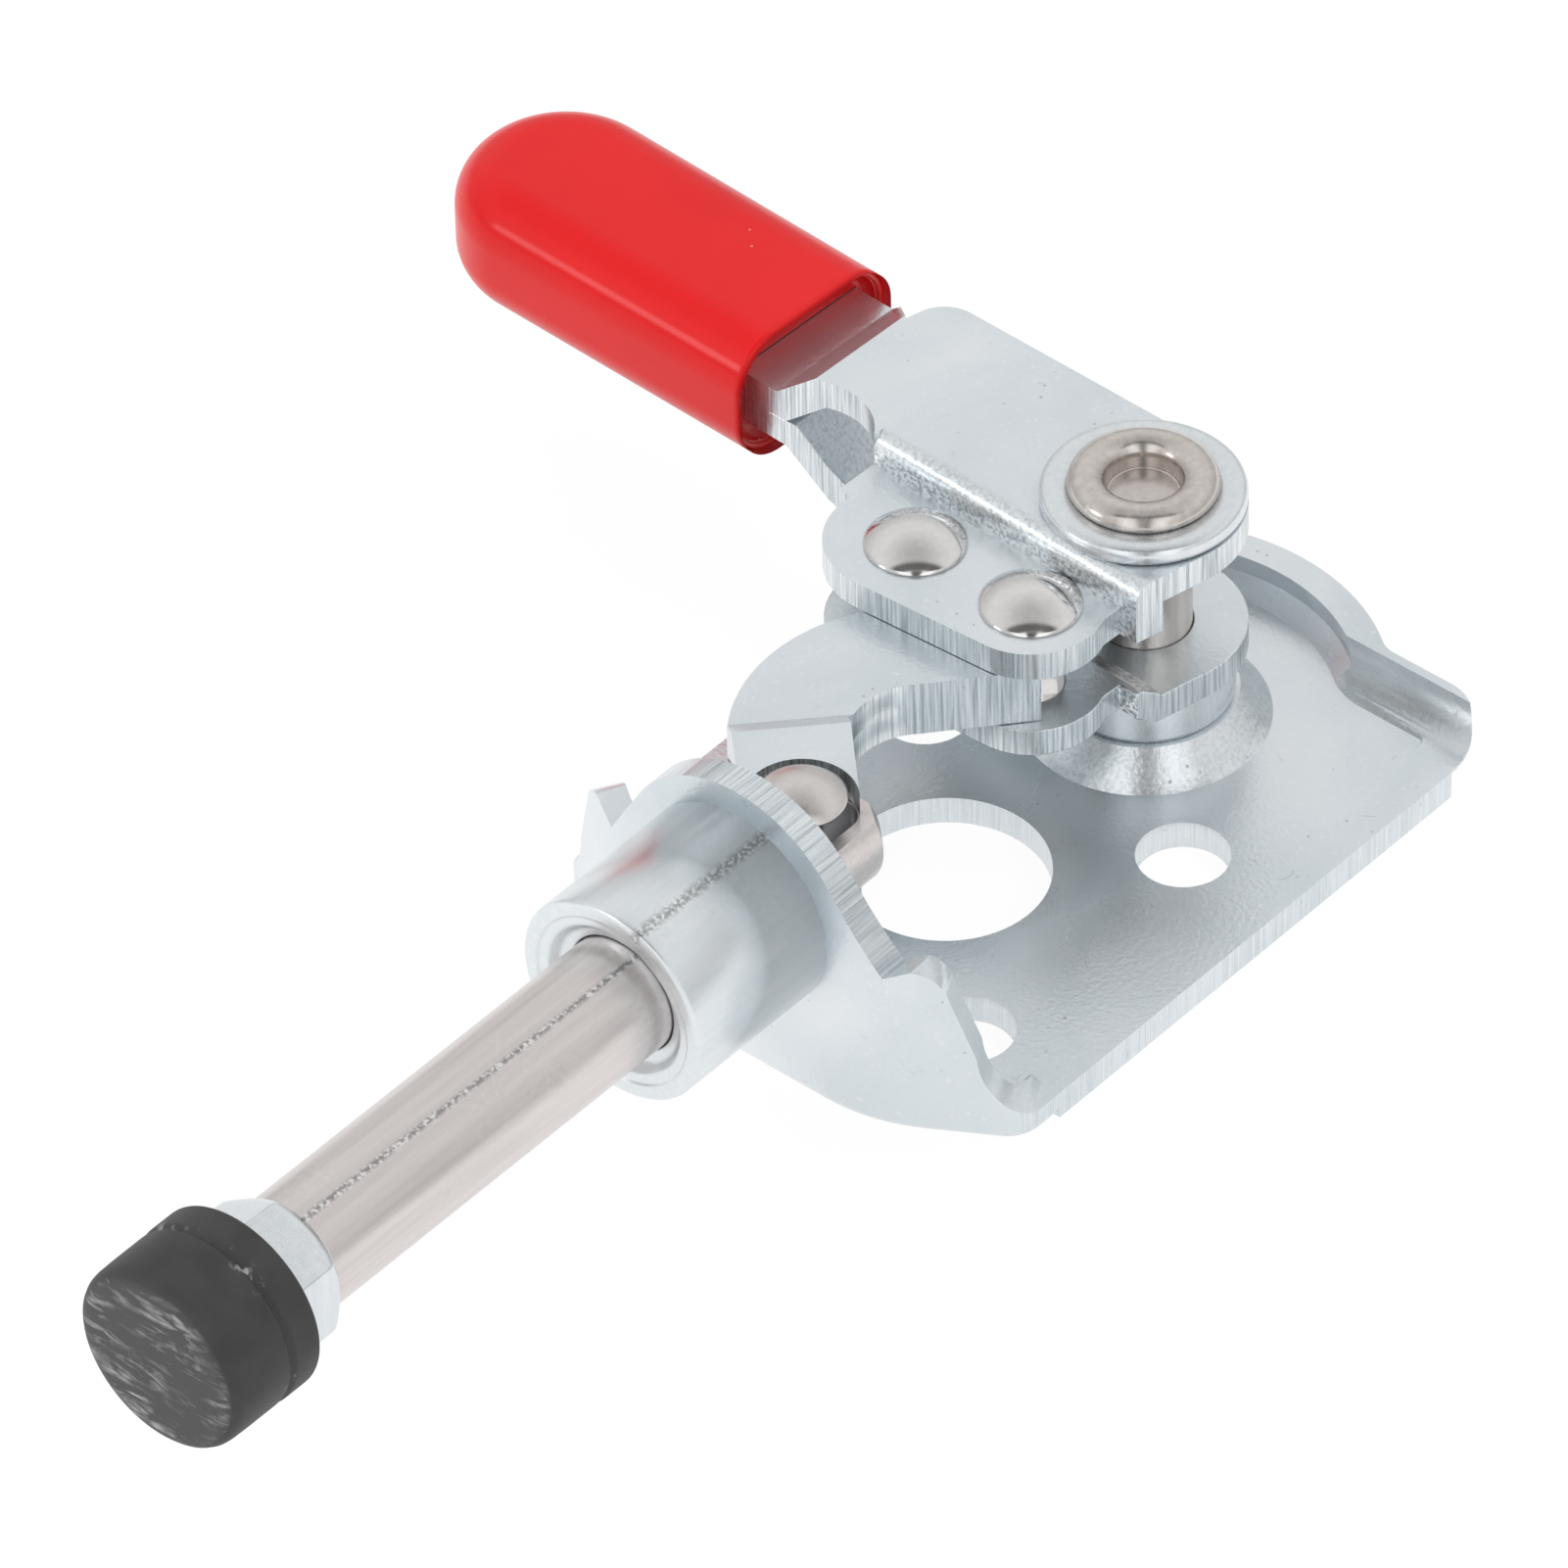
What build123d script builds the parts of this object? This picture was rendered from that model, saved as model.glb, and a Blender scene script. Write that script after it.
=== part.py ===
"""Push-pull toggle clamp: a sheet-steel base carries a guide sleeve, and a
lever drives the plunger through a hooked link.  All lengths in millimetres.

Origin: centre of the four-hole mounting pattern, on the underside of the base.
+X runs along the plunger towards its tip, +Z is up, and the lever points to -Y.
"""
import os
from math import acos, asin, atan2, cos, degrees, hypot, radians, sin, sqrt, tan

from build123d import *

os.makedirs("parts", exist_ok=True)

# ---------------------------------------------------------------- driving sizes
sheet = 1.6                  # every stamped plate is cut from this stock

# base plate
base_width = 28.95
hole_pitch_x = 16.2          # mounting holes, along the plunger
hole_pitch_y = 16.4          # mounting holes, across the plunger
mount_hole_d = 4.7
relief_hole_d = 10.35        # large hole in the middle of the pattern
pivot_setback = 15.05        # lever pivot behind the centre of the pattern
link_flange_gap = 0.33       # between the link's round end and the flange, lever closed
wing_start_y = 7.9           # the flange folds back beyond this, on both sides
wing_sweep = 31.0            # by this many degrees
wing_fold_r = 10.0
front_corner_r = 2.1
rear_reach = 9.4             # straight rear edge behind the lever pivot
rear_arc_r = 12.05           # rear edge bulges round the lever pivot
rear_corner_r = 2.8
rear_root_r = 1.4            # hollow where the bulge meets the straight edge
rear_lip_rise = 1.9          # upturned rear lip above the plate
flange_bend_out = 0.8        # outside radius of the flange's tight bend
flange_bend_in = 0.3
lip_bend_out = 2.2           # outside radius of the lip's easy bend
lip_bend_in = 0.9
lip_rim = 0.5                # the straight lip is thinned to this at its rim
lip_hollow = (0.8, 0.75)     # bottom of its hollow, ahead of the rim and above the plate
flange_root_x = 6.5          # the flange starts this far behind its front face
lip_root_x = 3.4             # the lip starts this far ahead of the straight edge

# front flange, seen along the plunger
plunger_height = 10.15       # plunger axis above the underside
arch_r = 7.0                 # round head of the flange
notch = (8.5, 9.65)          # notch between the round head and the ear
ear = (9.75, 10.35)          # inner end of the ear's rounded top
ear_crown = (10.75, 10.0)
ear_end = (11.3, 9.1)
wing_waist = (12.5, 5.2)     # the wing's edge turns hollow here
wing_hollow = (13.15, 3.05)
wing_foot_over = 0.35        # the hollow runs out this far beyond the plate's side

# pivot boss pressed up from the base
boss_foot_r = 6.3
boss_top_r = 4.7
boss_rise = 1.72

# lever pivot
shank_r = 2.375
stud_foot_r = 3.5            # closing head, sunk in the hollow under the boss
stud_foot_gap = 0.25         # it stays this far above the mounting face
spacer_r = 4.49
leaf_drop = 4.1              # underside of the lower leaf below the plunger axis
washer_r = 5.09
washer_t = 0.95
stud_head_r = 3.76
stud_head_t = 0.92
stud_bore_r = 1.85           # hollow end of the stud
stud_bore_depth = 1.5
stud_roll = 0.55             # the head's rim is rolled over by this much
stud_roll_drop = 0.25

# lever
lever_turn = 2.4             # lever rests this many degrees behind square
gate = 6.0                   # clear height between the two leaves at the pivot
leaf_end_r = 5.1             # round end about the pivot
leaf_corner = (5.2, 4.2)     # outer end of the joggle
joggle_end_y = -13.0         # inner end of the joggle
joggle_round = 0.9           # outer round of the upper leaf's joggle
joggle_run = 1.2             # the lower leaf's joggle slopes over this width
neck_hollow = (3.65, -15.4)  # deepest point of the notch beside the joggle
neck_right = (3.9, -17.4)
neck_left = (-2.3, -17.8)
shoulder_left = (-4.7, -17.3)
shoulder_r = 2.0
upper_ramp = (-17.4, -19.9)  # the upper leaf drops between these stations
lower_ramp = (-15.6, -19.9)  # the lower leaf rises between these stations
tab_width = 8.4
tab_length = 17.0            # both tabs run this far into the grip
link_pin = (7.8, -0.3)       # link pivot, in the lever's own axes
stop_pin = (8.2, -7.5)       # stop rivet, in the lever's own axes
link_pin_lobe_r = 3.7
stop_pin_lobe_r = 4.1
stop_lobe_shift = 0.6        # the lobe's round is centred below the stop rivet
rivet_shank_r = 1.6
rivet_head_r = 2.55
rivet_head_t = 1.05
rivet_rim = 0.2              # upright rim under a rivet's dome
stop_bush_r = 2.2

# grip
grip_mouth_y = -21.6
grip_length = 22.9
grip_mouth_w = 10.8
grip_end_w = 11.4
grip_h = 7.3
grip_edge_r = 2.7
grip_wall = 0.95
grip_mouth_depth = 3.5
grip_tip_r = 1.5             # small pip left at the end by the dipping
grip_tip_rise = 0.5

# link
link_length = 17.8
link_pin_end_r = 3.0
plunger_pin_end_r = 2.8
hook_centre = (16.9, 0.2)    # centre of the hooked bend, from the lever pivot
hook_outer_r = 9.4
hook_inner_r = 3.6
hook_outer_span = (-128.0, -51.5)
hook_inner_span = (-137.0, -60.0)
crease_angle = 47.0          # direction in which the plates spread
crease_end = 4.6             # end of the spread, from the plunger rivet
crease_run = 2.5             # length of the sloping stretch

# plunger and its tip
rod_r = 3.15
rod_showing = 23.1           # rod ahead of the sleeve, lever closed
tongue_t = 3.4               # flattened rear end of the rod
tongue_back = 3.2            # tongue behind the plunger rivet
tongue_front = 4.5           # tongue ahead of the plunger rivet
tongue_corner = 0.9
plunger_rivet_r = 1.0
plunger_head_r = 2.25
plunger_head_t = 1.1
slot_play_x = 1.47           # the rivet drifts this far each way along the plunger
slot_play_left = 0.90        # and this far to +Y
slot_play_right = 1.23       # and this far to -Y
screw_r = 2.0
screw_hole_depth = 16.0
screw_tail = 1.0             # hollow left behind the screw
screw_head_r = 3.2
screw_head_t = 1.4
nut_flats = 7.0
nut_t = 3.0
nut_turn = 30.0              # one corner of the nut points up
nut_chamfer = 0.45
tip_r = 5.0
tip_length = 6.0
tip_skin = 2.2               # rubber ahead of the screw's head
tip_front_round = 0.9
tip_groove = 0.25
tip_band = 1.7               # back band behind the groove

# guide sleeve
sleeve_r = 5.55
sleeve_spigot_r = 4.75       # stepped down where it passes the flange
sleeve_length = 9.2          # ahead of the flange
sleeve_mouth_r = 4.05
sleeve_mouth_depth = 0.8
sleeve_edge = 0.45

# small edges
edge_break = 0.3             # chamfer on turned ends
spacer_edge = 0.15

# named clearances
slide_clear = 0.05           # rod in sleeve, pins in plates, radial
face_clear = 0.05            # flat faces that slide on each other
grip_clear = 0.05            # tabs in the grip

# ---------------------------------------------------------------- worked-out places
pivot_x = -pivot_setback
turn = radians(-lever_turn)
pin_x = link_pin[0] * cos(turn) - link_pin[1] * sin(turn)
pin_y = link_pin[0] * sin(turn) + link_pin[1] * cos(turn)
plunger_pin_x = pin_x + sqrt(link_length**2 - pin_y**2)

flange_back = pivot_x + plunger_pin_x + plunger_pin_end_r + link_flange_gap
flange_front = flange_back + sheet
sleeve_front = flange_front + sleeve_length
rod_front = sleeve_front + rod_showing
nut_front = rod_front + nut_t
tip_back = nut_front + face_clear
tip_front = tip_back + tip_length
tip_ease = tip_front_round * (1 - cos(radians(45)))
head_front = tip_front - tip_skin
head_back = head_front - screw_head_t
screw_back = rod_front - screw_hole_depth + screw_tail

spacer_bottom = sheet + boss_rise
lower_leaf_bottom = plunger_height - leaf_drop
lower_leaf_top = lower_leaf_bottom + sheet
upper_leaf_bottom = lower_leaf_top + gate
upper_leaf_top = upper_leaf_bottom + sheet
washer_top = upper_leaf_top + face_clear + washer_t

link_bottom = plunger_height - sheet
link_top = plunger_height + sheet
lobe_upper_bottom = link_top + face_clear
lobe_lower_top = link_bottom - face_clear
tab_joint = (upper_leaf_bottom + lower_leaf_top) / 2 + 0.9   # the two tabs meet here

pivot_plan = Plane(origin=(pivot_x, 0, 0))
lever_plan = Plane(origin=(pivot_x, 0, 0), x_dir=(cos(radians(lever_turn)), -sin(radians(lever_turn)), 0))
lever_side = Plane(origin=lever_plan.origin, x_dir=lever_plan.y_dir, z_dir=lever_plan.x_dir)
lever_section = Plane(origin=lever_plan.origin, x_dir=lever_plan.x_dir, z_dir=-lever_plan.y_dir)


def polar(centre, radius, angle):
    """Point at an angle in degrees on a circle."""
    return (centre[0] + radius * cos(radians(angle)), centre[1] + radius * sin(radians(angle)))


def tangent_angle(centre, radius, point, side):
    """Angle on a circle where the line from an outside point touches it."""
    dx = point[0] - centre[0]
    dy = point[1] - centre[1]
    return degrees(atan2(dy, dx)) + side * degrees(acos(radius / hypot(dx, dy)))


# ---------------------------------------------------------------- base plate
def base_outline(inset=0):
    """Plan of the base, drawn from the lever pivot."""
    front = flange_front - pivot_x
    half = base_width / 2
    corner_x = front - (half - wing_start_y) * tan(radians(wing_sweep))
    root_y = sqrt(rear_arc_r**2 - rear_reach**2)
    with BuildSketch() as outline:
        with BuildLine():
            Polyline((-rear_reach, 0), (-rear_reach, half), (corner_x, half), (front, wing_start_y), (front, 0))
            mirror(about=Plane.XZ)
        make_face()
        fillet(outline.vertices().group_by(Axis.X)[0], rear_corner_r)
        for side in (1, -1):
            fillet(outline.vertices().sort_by_distance((corner_x, side * half))[0], front_corner_r)
            fillet(outline.vertices().sort_by_distance((front, side * wing_start_y))[0], wing_fold_r)
        Circle(rear_arc_r)
        for side in (1, -1):
            fillet(outline.vertices().sort_by_distance((-rear_reach, side * root_y))[0], rear_root_r)
        if inset:
            offset(amount=-inset, mode=Mode.REPLACE)
    return outline.sketch


def base_outline_part(inset, near_x, far_x):
    """The same plan between two stations along the plunger."""
    with BuildSketch() as outline:
        add(base_outline(inset))
        with Locations(((near_x + far_x) / 2, 0)):
            Rectangle(abs(far_x - near_x), 2 * base_width, mode=Mode.INTERSECT)
    return outline.sketch


def flange_profile():
    """Front view of the flange: round head, notches and the tops of the ears."""
    head = (0, plunger_height)
    touch = tangent_angle(head, arch_r, notch, 1)
    with BuildSketch() as profile:
        with BuildLine():
            ThreePointArc(polar(head, arch_r, 90),
                          polar(head, arch_r, (90 + touch) / 2),
                          polar(head, arch_r, touch))
            Line(polar(head, arch_r, touch), notch)
            Line(notch, ear)
            Line(ear, (base_width, ear[1]))
            Line((base_width, ear[1]), (base_width, 0))
            Line((base_width, 0), (0, 0))
            mirror(about=Plane.YZ)
        make_face()
    return profile.sketch


def wing_cut(side):
    """What is cut from one wing, square to the sheet, above its hollow edge."""
    sweep = radians(wing_sweep)
    wing_face = Plane(origin=(flange_front, side * wing_start_y, 0),
                      x_dir=(-sin(sweep), side * cos(sweep), 0),
                      z_dir=(side * cos(sweep), sin(sweep), 0))
    foot = (base_width / 2 + wing_foot_over, sheet)
    top, crown, end, waist, hollow, root = [
        ((y - wing_start_y) / cos(sweep), z)
        for y, z in (ear, ear_crown, ear_end, wing_waist, wing_hollow, foot)
    ]
    clear_z = 2 * plunger_height
    with BuildPart() as cut:
        with BuildSketch(wing_face):
            with BuildLine():
                ThreePointArc(top, crown, end)
                Line(end, waist)
                ThreePointArc(waist, hollow, root)
                Polyline(root, (root[0] + sheet, sheet), (root[0] + sheet, clear_z), (top[0], clear_z), top)
            make_face()
        extrude(amount=2 * sheet, both=True)
    return cut.part


def lip_profile():
    """Side view of the lip: full height at the rear, hollowed down to the plate ahead of it."""
    top = sheet + rear_lip_rise
    rim = lip_rim - rear_reach
    foot = lip_root_x - rear_reach
    with BuildSketch() as profile:
        with BuildLine():
            Polyline((foot, sheet), (foot, 0), (-2 * rear_arc_r, 0), (-2 * rear_arc_r, top), (rim, top))
            ThreePointArc((rim, top), (rim + lip_hollow[0], sheet + lip_hollow[1]), (foot, sheet))
        make_face()
    return profile.sketch


def bent_rim(near_x, far_x, outside, inside):
    """One end of the base with a wall bent up all along its rim, open towards near_x."""
    top = plunger_height + arch_r + 1
    near = pivot_x + near_x
    with BuildPart() as block:
        with BuildSketch(pivot_plan):
            add(base_outline_part(0, near_x, far_x))
        extrude(amount=top)
        rim = block.faces().sort_by(Axis.Z)[0].edges()
        fillet(rim.filter_by(lambda e: abs(e.center().X - near) > 0.05), outside)
    with BuildPart() as hollow:
        with BuildSketch(pivot_plan.offset(sheet)):
            add(base_outline_part(sheet, near_x, far_x))
        extrude(amount=top)
        rim = hollow.faces().sort_by(Axis.Z)[0].edges()
        chamfer(rim.filter_by(lambda e: abs(e.center().X - near) > 0.05), inside)
    return block.part - hollow.part


front_cut = flange_front - pivot_x - flange_root_x
rear_cut = lip_root_x - rear_reach

with BuildPart() as front_flange:
    add(bent_rim(front_cut, front_cut + base_width, flange_bend_out, flange_bend_in))
    with BuildSketch(Plane.YZ):
        add(flange_profile())
    extrude(amount=2 * base_width, both=True, mode=Mode.INTERSECT)
    add(wing_cut(1), mode=Mode.SUBTRACT)
    add(wing_cut(-1), mode=Mode.SUBTRACT)

with BuildPart() as rear_lip:
    add(bent_rim(rear_cut, rear_cut - base_width, lip_bend_out, lip_bend_in))
    with BuildSketch(Plane(origin=(pivot_x, 0, 0), x_dir=(1, 0, 0), z_dir=(0, -1, 0))):
        add(lip_profile())
    extrude(amount=base_width, both=True, mode=Mode.INTERSECT)

with BuildPart() as base_plate:
    with BuildSketch(pivot_plan):
        add(base_outline_part(0, rear_cut, front_cut))
    extrude(amount=sheet)
    add(front_flange.part)
    add(rear_lip.part)
    with Locations((pivot_x, 0, sheet)):
        Cone(boss_foot_r, boss_top_r, boss_rise, align=(Align.CENTER, Align.CENTER, Align.MIN))
    with Locations((pivot_x, 0, 0)):
        Cone(boss_foot_r - sheet / 2, boss_top_r - sheet / 2, boss_rise,
             align=(Align.CENTER, Align.CENTER, Align.MIN), mode=Mode.SUBTRACT)
        Cylinder(shank_r, 3 * spacer_bottom, mode=Mode.SUBTRACT)
    with GridLocations(hole_pitch_x, hole_pitch_y, 2, 2):
        Cylinder(mount_hole_d / 2, 4 * sheet, mode=Mode.SUBTRACT)
    Cylinder(relief_hole_d / 2, 4 * sheet, mode=Mode.SUBTRACT)
    with BuildSketch(Plane.YZ.offset(flange_back - sheet)):
        with Locations((0, plunger_height)):
            Circle(sleeve_spigot_r)
    extrude(amount=3 * sheet, mode=Mode.SUBTRACT)

base_plate.part.label = "base_plate"
export_step(base_plate.part, "parts/base_plate.step")

# ---------------------------------------------------------------- guide sleeve
with BuildPart() as plunger_sleeve:
    with BuildSketch(Plane.XZ):
        with BuildLine():
            bore = rod_r + slide_clear
            Polyline(
                (flange_back, plunger_height + bore),
                (flange_back, plunger_height + sleeve_spigot_r),
                (flange_front, plunger_height + sleeve_spigot_r),
                (flange_front, plunger_height + sleeve_r),
                (sleeve_front - sleeve_edge, plunger_height + sleeve_r),
                (sleeve_front, plunger_height + sleeve_r - sleeve_edge),
                (sleeve_front, plunger_height + sleeve_mouth_r),
                (sleeve_front - sleeve_mouth_depth, plunger_height + bore),
                close=True,
            )
        make_face()
    revolve(axis=Axis((0, 0, plunger_height), (1, 0, 0)))

plunger_sleeve.part.label = "plunger_sleeve"
export_step(plunger_sleeve.part, "parts/plunger_sleeve.step")

# ---------------------------------------------------------------- plunger
tongue_rear = pivot_x + plunger_pin_x - tongue_back
tongue_step = pivot_x + plunger_pin_x + tongue_front
pin_slot = plunger_rivet_r + slide_clear

with BuildPart() as plunger:
    with BuildSketch(Plane.YZ.offset(tongue_rear)):
        with Locations((0, plunger_height)):
            Circle(rod_r)
    extrude(amount=rod_front - tongue_rear)
    chamfer(plunger.edges().sort_by(Axis.X)[-1], edge_break)
    with BuildSketch(Plane.XZ):
        for side in (1, -1):
            with Locations(((tongue_rear + tongue_step) / 2, plunger_height + side * (tongue_t + rod_r) / 2)):
                Rectangle(tongue_step - tongue_rear, rod_r)
    extrude(amount=2 * rod_r, both=True, mode=Mode.SUBTRACT)
    chamfer(plunger.faces().sort_by(Axis.X)[0].edges().filter_by(lambda e: abs(e.center().Y) > rod_r / 2),
            tongue_corner)
    with BuildSketch(Plane.XY.offset(plunger_height)):
        with Locations((pivot_x + plunger_pin_x, (slot_play_left - slot_play_right) / 2)):
            RectangleRounded(2 * (pin_slot + slot_play_x),
                             2 * pin_slot + slot_play_left + slot_play_right,
                             pin_slot - 0.001)
    extrude(amount=tongue_t, both=True, mode=Mode.SUBTRACT)
    with BuildSketch(Plane.YZ.offset(rod_front)):
        with Locations((0, plunger_height)):
            Circle(screw_r + slide_clear)
    extrude(amount=-screw_hole_depth, mode=Mode.SUBTRACT)

plunger.part.label = "plunger"
export_step(plunger.part, "parts/plunger.step")

# ---------------------------------------------------------------- lock nut, screw, rubber tip
with BuildPart() as lock_nut:
    with BuildSketch(Plane.YZ.offset(rod_front)):
        with Locations((0, plunger_height)):
            RegularPolygon(nut_flats / 2, 6, major_radius=False, rotation=nut_turn)
            Circle(screw_r + slide_clear, mode=Mode.SUBTRACT)
    extrude(amount=nut_t)
    with BuildSketch(Plane.XZ):
        with BuildLine():
            corner = nut_flats / 2 / cos(radians(30)) + nut_chamfer / 2
            Polyline(
                (rod_front, plunger_height),
                (rod_front, plunger_height + nut_flats / 2),
                (rod_front + nut_chamfer, plunger_height + corner),
                (nut_front - nut_chamfer, plunger_height + corner),
                (nut_front, plunger_height + nut_flats / 2),
                (nut_front, plunger_height),
                close=True,
            )
        make_face()
    revolve(axis=Axis((0, 0, plunger_height), (1, 0, 0)), mode=Mode.INTERSECT)

lock_nut.part.label = "lock_nut"
export_step(lock_nut.part, "parts/lock_nut.step")

with BuildPart() as tip_screw:
    with BuildSketch(Plane.YZ.offset(screw_back)):
        with Locations((0, plunger_height)):
            Circle(screw_r)
    extrude(amount=head_front - screw_back)
    chamfer(tip_screw.edges().sort_by(Axis.X)[0], edge_break)
    with BuildSketch(Plane.YZ.offset(head_back)):
        with Locations((0, plunger_height)):
            Circle(screw_head_r)
    extrude(amount=screw_head_t)

tip_screw.part.label = "tip_screw"
export_step(tip_screw.part, "parts/tip_screw.step")

with BuildPart() as rubber_tip:
    with BuildSketch(Plane.XZ):
        with BuildLine():
            band_front = tip_back + tip_band
            Polyline(
                (tip_back, plunger_height + screw_r),
                (tip_back, plunger_height + tip_r),
                (band_front, plunger_height + tip_r),
                (band_front + tip_groove, plunger_height + tip_r - tip_groove),
                (band_front + 2 * tip_groove, plunger_height + tip_r),
                (tip_front - tip_front_round, plunger_height + tip_r),
                (tip_front - tip_ease, plunger_height + tip_r - tip_ease),
                (tip_front, plunger_height + tip_r - tip_front_round),
                (tip_front, plunger_height),
                (head_front, plunger_height),
                (head_front, plunger_height + screw_head_r),
                (head_back, plunger_height + screw_head_r),
                (head_back, plunger_height + screw_r),
                close=True,
            )
        make_face()
    revolve(axis=Axis((0, 0, plunger_height), (1, 0, 0)))

rubber_tip.part.label = "rubber_tip"
export_step(rubber_tip.part, "parts/rubber_tip.step")


# ---------------------------------------------------------------- link
def link_outline():
    """Plan of one link plate: two round ends joined by a hooked bend."""
    pin = (pin_x, pin_y)
    end = (plunger_pin_x, 0)
    outer_start = polar(hook_centre, hook_outer_r, hook_outer_span[0])
    outer_end = polar(hook_centre, hook_outer_r, hook_outer_span[1])
    outer_mid = polar(hook_centre, hook_outer_r, sum(hook_outer_span) / 2)
    inner_start = polar(hook_centre, hook_inner_r, hook_inner_span[0])
    inner_end = polar(hook_centre, hook_inner_r, hook_inner_span[1])
    inner_mid = polar(hook_centre, hook_inner_r, sum(hook_inner_span) / 2)
    pin_left = tangent_angle(pin, link_pin_end_r, outer_start, -1)
    pin_right = tangent_angle(pin, link_pin_end_r, inner_start, 1)
    end_right = tangent_angle(end, plunger_pin_end_r, outer_end, 1)
    end_left = tangent_angle(end, plunger_pin_end_r, inner_end, -1)
    with BuildSketch() as outline:
        with BuildLine():
            Line(polar(pin, link_pin_end_r, pin_left), outer_start)
            ThreePointArc(outer_start, outer_mid, outer_end)
            Line(outer_end, polar(end, plunger_pin_end_r, end_right))
            ThreePointArc(polar(end, plunger_pin_end_r, end_right),
                          polar(end, plunger_pin_end_r, (end_right + end_left) / 2),
                          polar(end, plunger_pin_end_r, end_left))
            Line(polar(end, plunger_pin_end_r, end_left), inner_end)
            ThreePointArc(inner_end, inner_mid, inner_start)
            Line(inner_start, polar(pin, link_pin_end_r, pin_right))
            ThreePointArc(polar(pin, link_pin_end_r, pin_right),
                          polar(pin, link_pin_end_r, (pin_right + pin_left) / 2),
                          polar(pin, link_pin_end_r, pin_left))
        make_face()
        with Locations((pin_x, pin_y)):
            Circle(rivet_shank_r + slide_clear, mode=Mode.SUBTRACT)
        with Locations((plunger_pin_x, 0)):
            Circle(plunger_rivet_r, mode=Mode.SUBTRACT)
    return outline.sketch


spread = tongue_t / 2 + face_clear
crease_plane = Plane(
    origin=(pivot_x + plunger_pin_x, 0, plunger_height),
    x_dir=(cos(radians(crease_angle)), sin(radians(crease_angle)), 0),
    z_dir=(sin(radians(crease_angle)), -cos(radians(crease_angle)), 0),
)

with BuildPart() as link_upper:
    with BuildSketch(crease_plane):
        slope = atan2(spread, crease_run)
        lean = sheet * sin(slope / 2) / cos(slope / 2)
        with BuildLine():
            Polyline(
                (-3 * link_length, 0),
                (-crease_end - crease_run, 0),
                (-crease_end, spread),
                (link_length, spread),
                (link_length, spread + sheet),
                (-crease_end - lean, spread + sheet),
                (-crease_end - crease_run - lean, sheet),
                (-3 * link_length, sheet),
                close=True,
            )
        make_face()
    extrude(amount=2 * link_length, both=True)
    with BuildSketch(pivot_plan.offset(plunger_height)):
        add(link_outline())
    extrude(amount=3 * sheet, mode=Mode.INTERSECT)

link_upper.part.label = "link_upper"
export_step(link_upper.part, "parts/link_upper.step")

with BuildPart() as link_lower:
    mirror(link_upper.part, about=Plane.XY.offset(plunger_height))

link_lower.part.label = "link_lower"
export_step(link_lower.part, "parts/link_lower.step")


def rivet(place, half_grip, shank_radius, head_radius, head_height):
    """Rivet standing at a point given from the lever pivot, a banded dome at each end."""
    dome = head_height - rivet_rim
    ball = (head_radius**2 + dome**2) / (2 * dome)
    crown = half_grip + head_height
    reach = degrees(asin(head_radius / ball))
    bands = [polar((0, crown - ball), ball, 90 - reach * part) for part in (0, 0.25, 0.6, 1)]
    upright = Plane(origin=(pivot_x + place[0], place[1], plunger_height), x_dir=(1, 0, 0), z_dir=(0, -1, 0))
    with BuildPart() as body:
        with BuildSketch(upright):
            with BuildLine():
                Line((0, 0), bands[0])
                Polyline(*bands)
                Polyline(bands[-1], (head_radius, half_grip), (shank_radius, half_grip), (shank_radius, 0))
                mirror(about=Plane.XZ)
            make_face()
        revolve(axis=Axis(upright.origin, (0, 0, 1)))
    return body.part


with BuildPart() as plunger_rivet:
    add(rivet((plunger_pin_x, 0), spread + sheet, plunger_rivet_r, plunger_head_r, plunger_head_t))

plunger_rivet.part.label = "plunger_rivet"
export_step(plunger_rivet.part, "parts/plunger_rivet.step")


# ---------------------------------------------------------------- lever leaves
def leaf_outline():
    """Plan of the leaf without its rivet lobe, in the lever's own axes."""
    touch = tangent_angle((0, 0), leaf_end_r, leaf_corner, 1)
    tab_end = grip_mouth_y - tab_length
    tab_y = upper_ramp[1]
    with BuildSketch() as outline:
        with BuildLine():
            ThreePointArc((-leaf_end_r, 0),
                          polar((0, 0), leaf_end_r, (180 + touch) / 2),
                          polar((0, 0), leaf_end_r, touch))
            Line(polar((0, 0), leaf_end_r, touch), leaf_corner)
            Line(leaf_corner, (leaf_corner[0], joggle_end_y))
            ThreePointArc((leaf_corner[0], joggle_end_y), neck_hollow, neck_right)
            Line(neck_right, (tab_width / 2, tab_y))
            Line((tab_width / 2, tab_y), (tab_width / 2, tab_end))
            Line((tab_width / 2, tab_end), (-tab_width / 2, tab_end))
            Line((-tab_width / 2, tab_end), (-tab_width / 2, tab_y))
            Line((-tab_width / 2, tab_y), neck_left)
            Line(neck_left, shoulder_left)
            Line(shoulder_left, (-leaf_end_r, 0))
        make_face()
        fillet(outline.vertices().sort_by_distance(shoulder_left)[0], shoulder_r)
    return outline.sketch


def lobe_outline():
    """Plan of the lobe that holds the two rivets, in to the joggle's inner face."""
    inner = leaf_corner[0] - sheet
    far_y = link_pin[1] + link_pin_lobe_r - edge_break
    near_y = joggle_end_y
    with BuildSketch() as outline:
        with Locations(link_pin):
            Circle(link_pin_lobe_r)
        with Locations((stop_pin[0], stop_pin[1] - stop_lobe_shift)):
            Circle(stop_pin_lobe_r)
        make_hull()
        with Locations(((inner + link_pin[0]) / 2, (near_y + far_y) / 2)):
            Rectangle(link_pin[0] - inner, far_y - near_y)
    return outline.sketch


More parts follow.
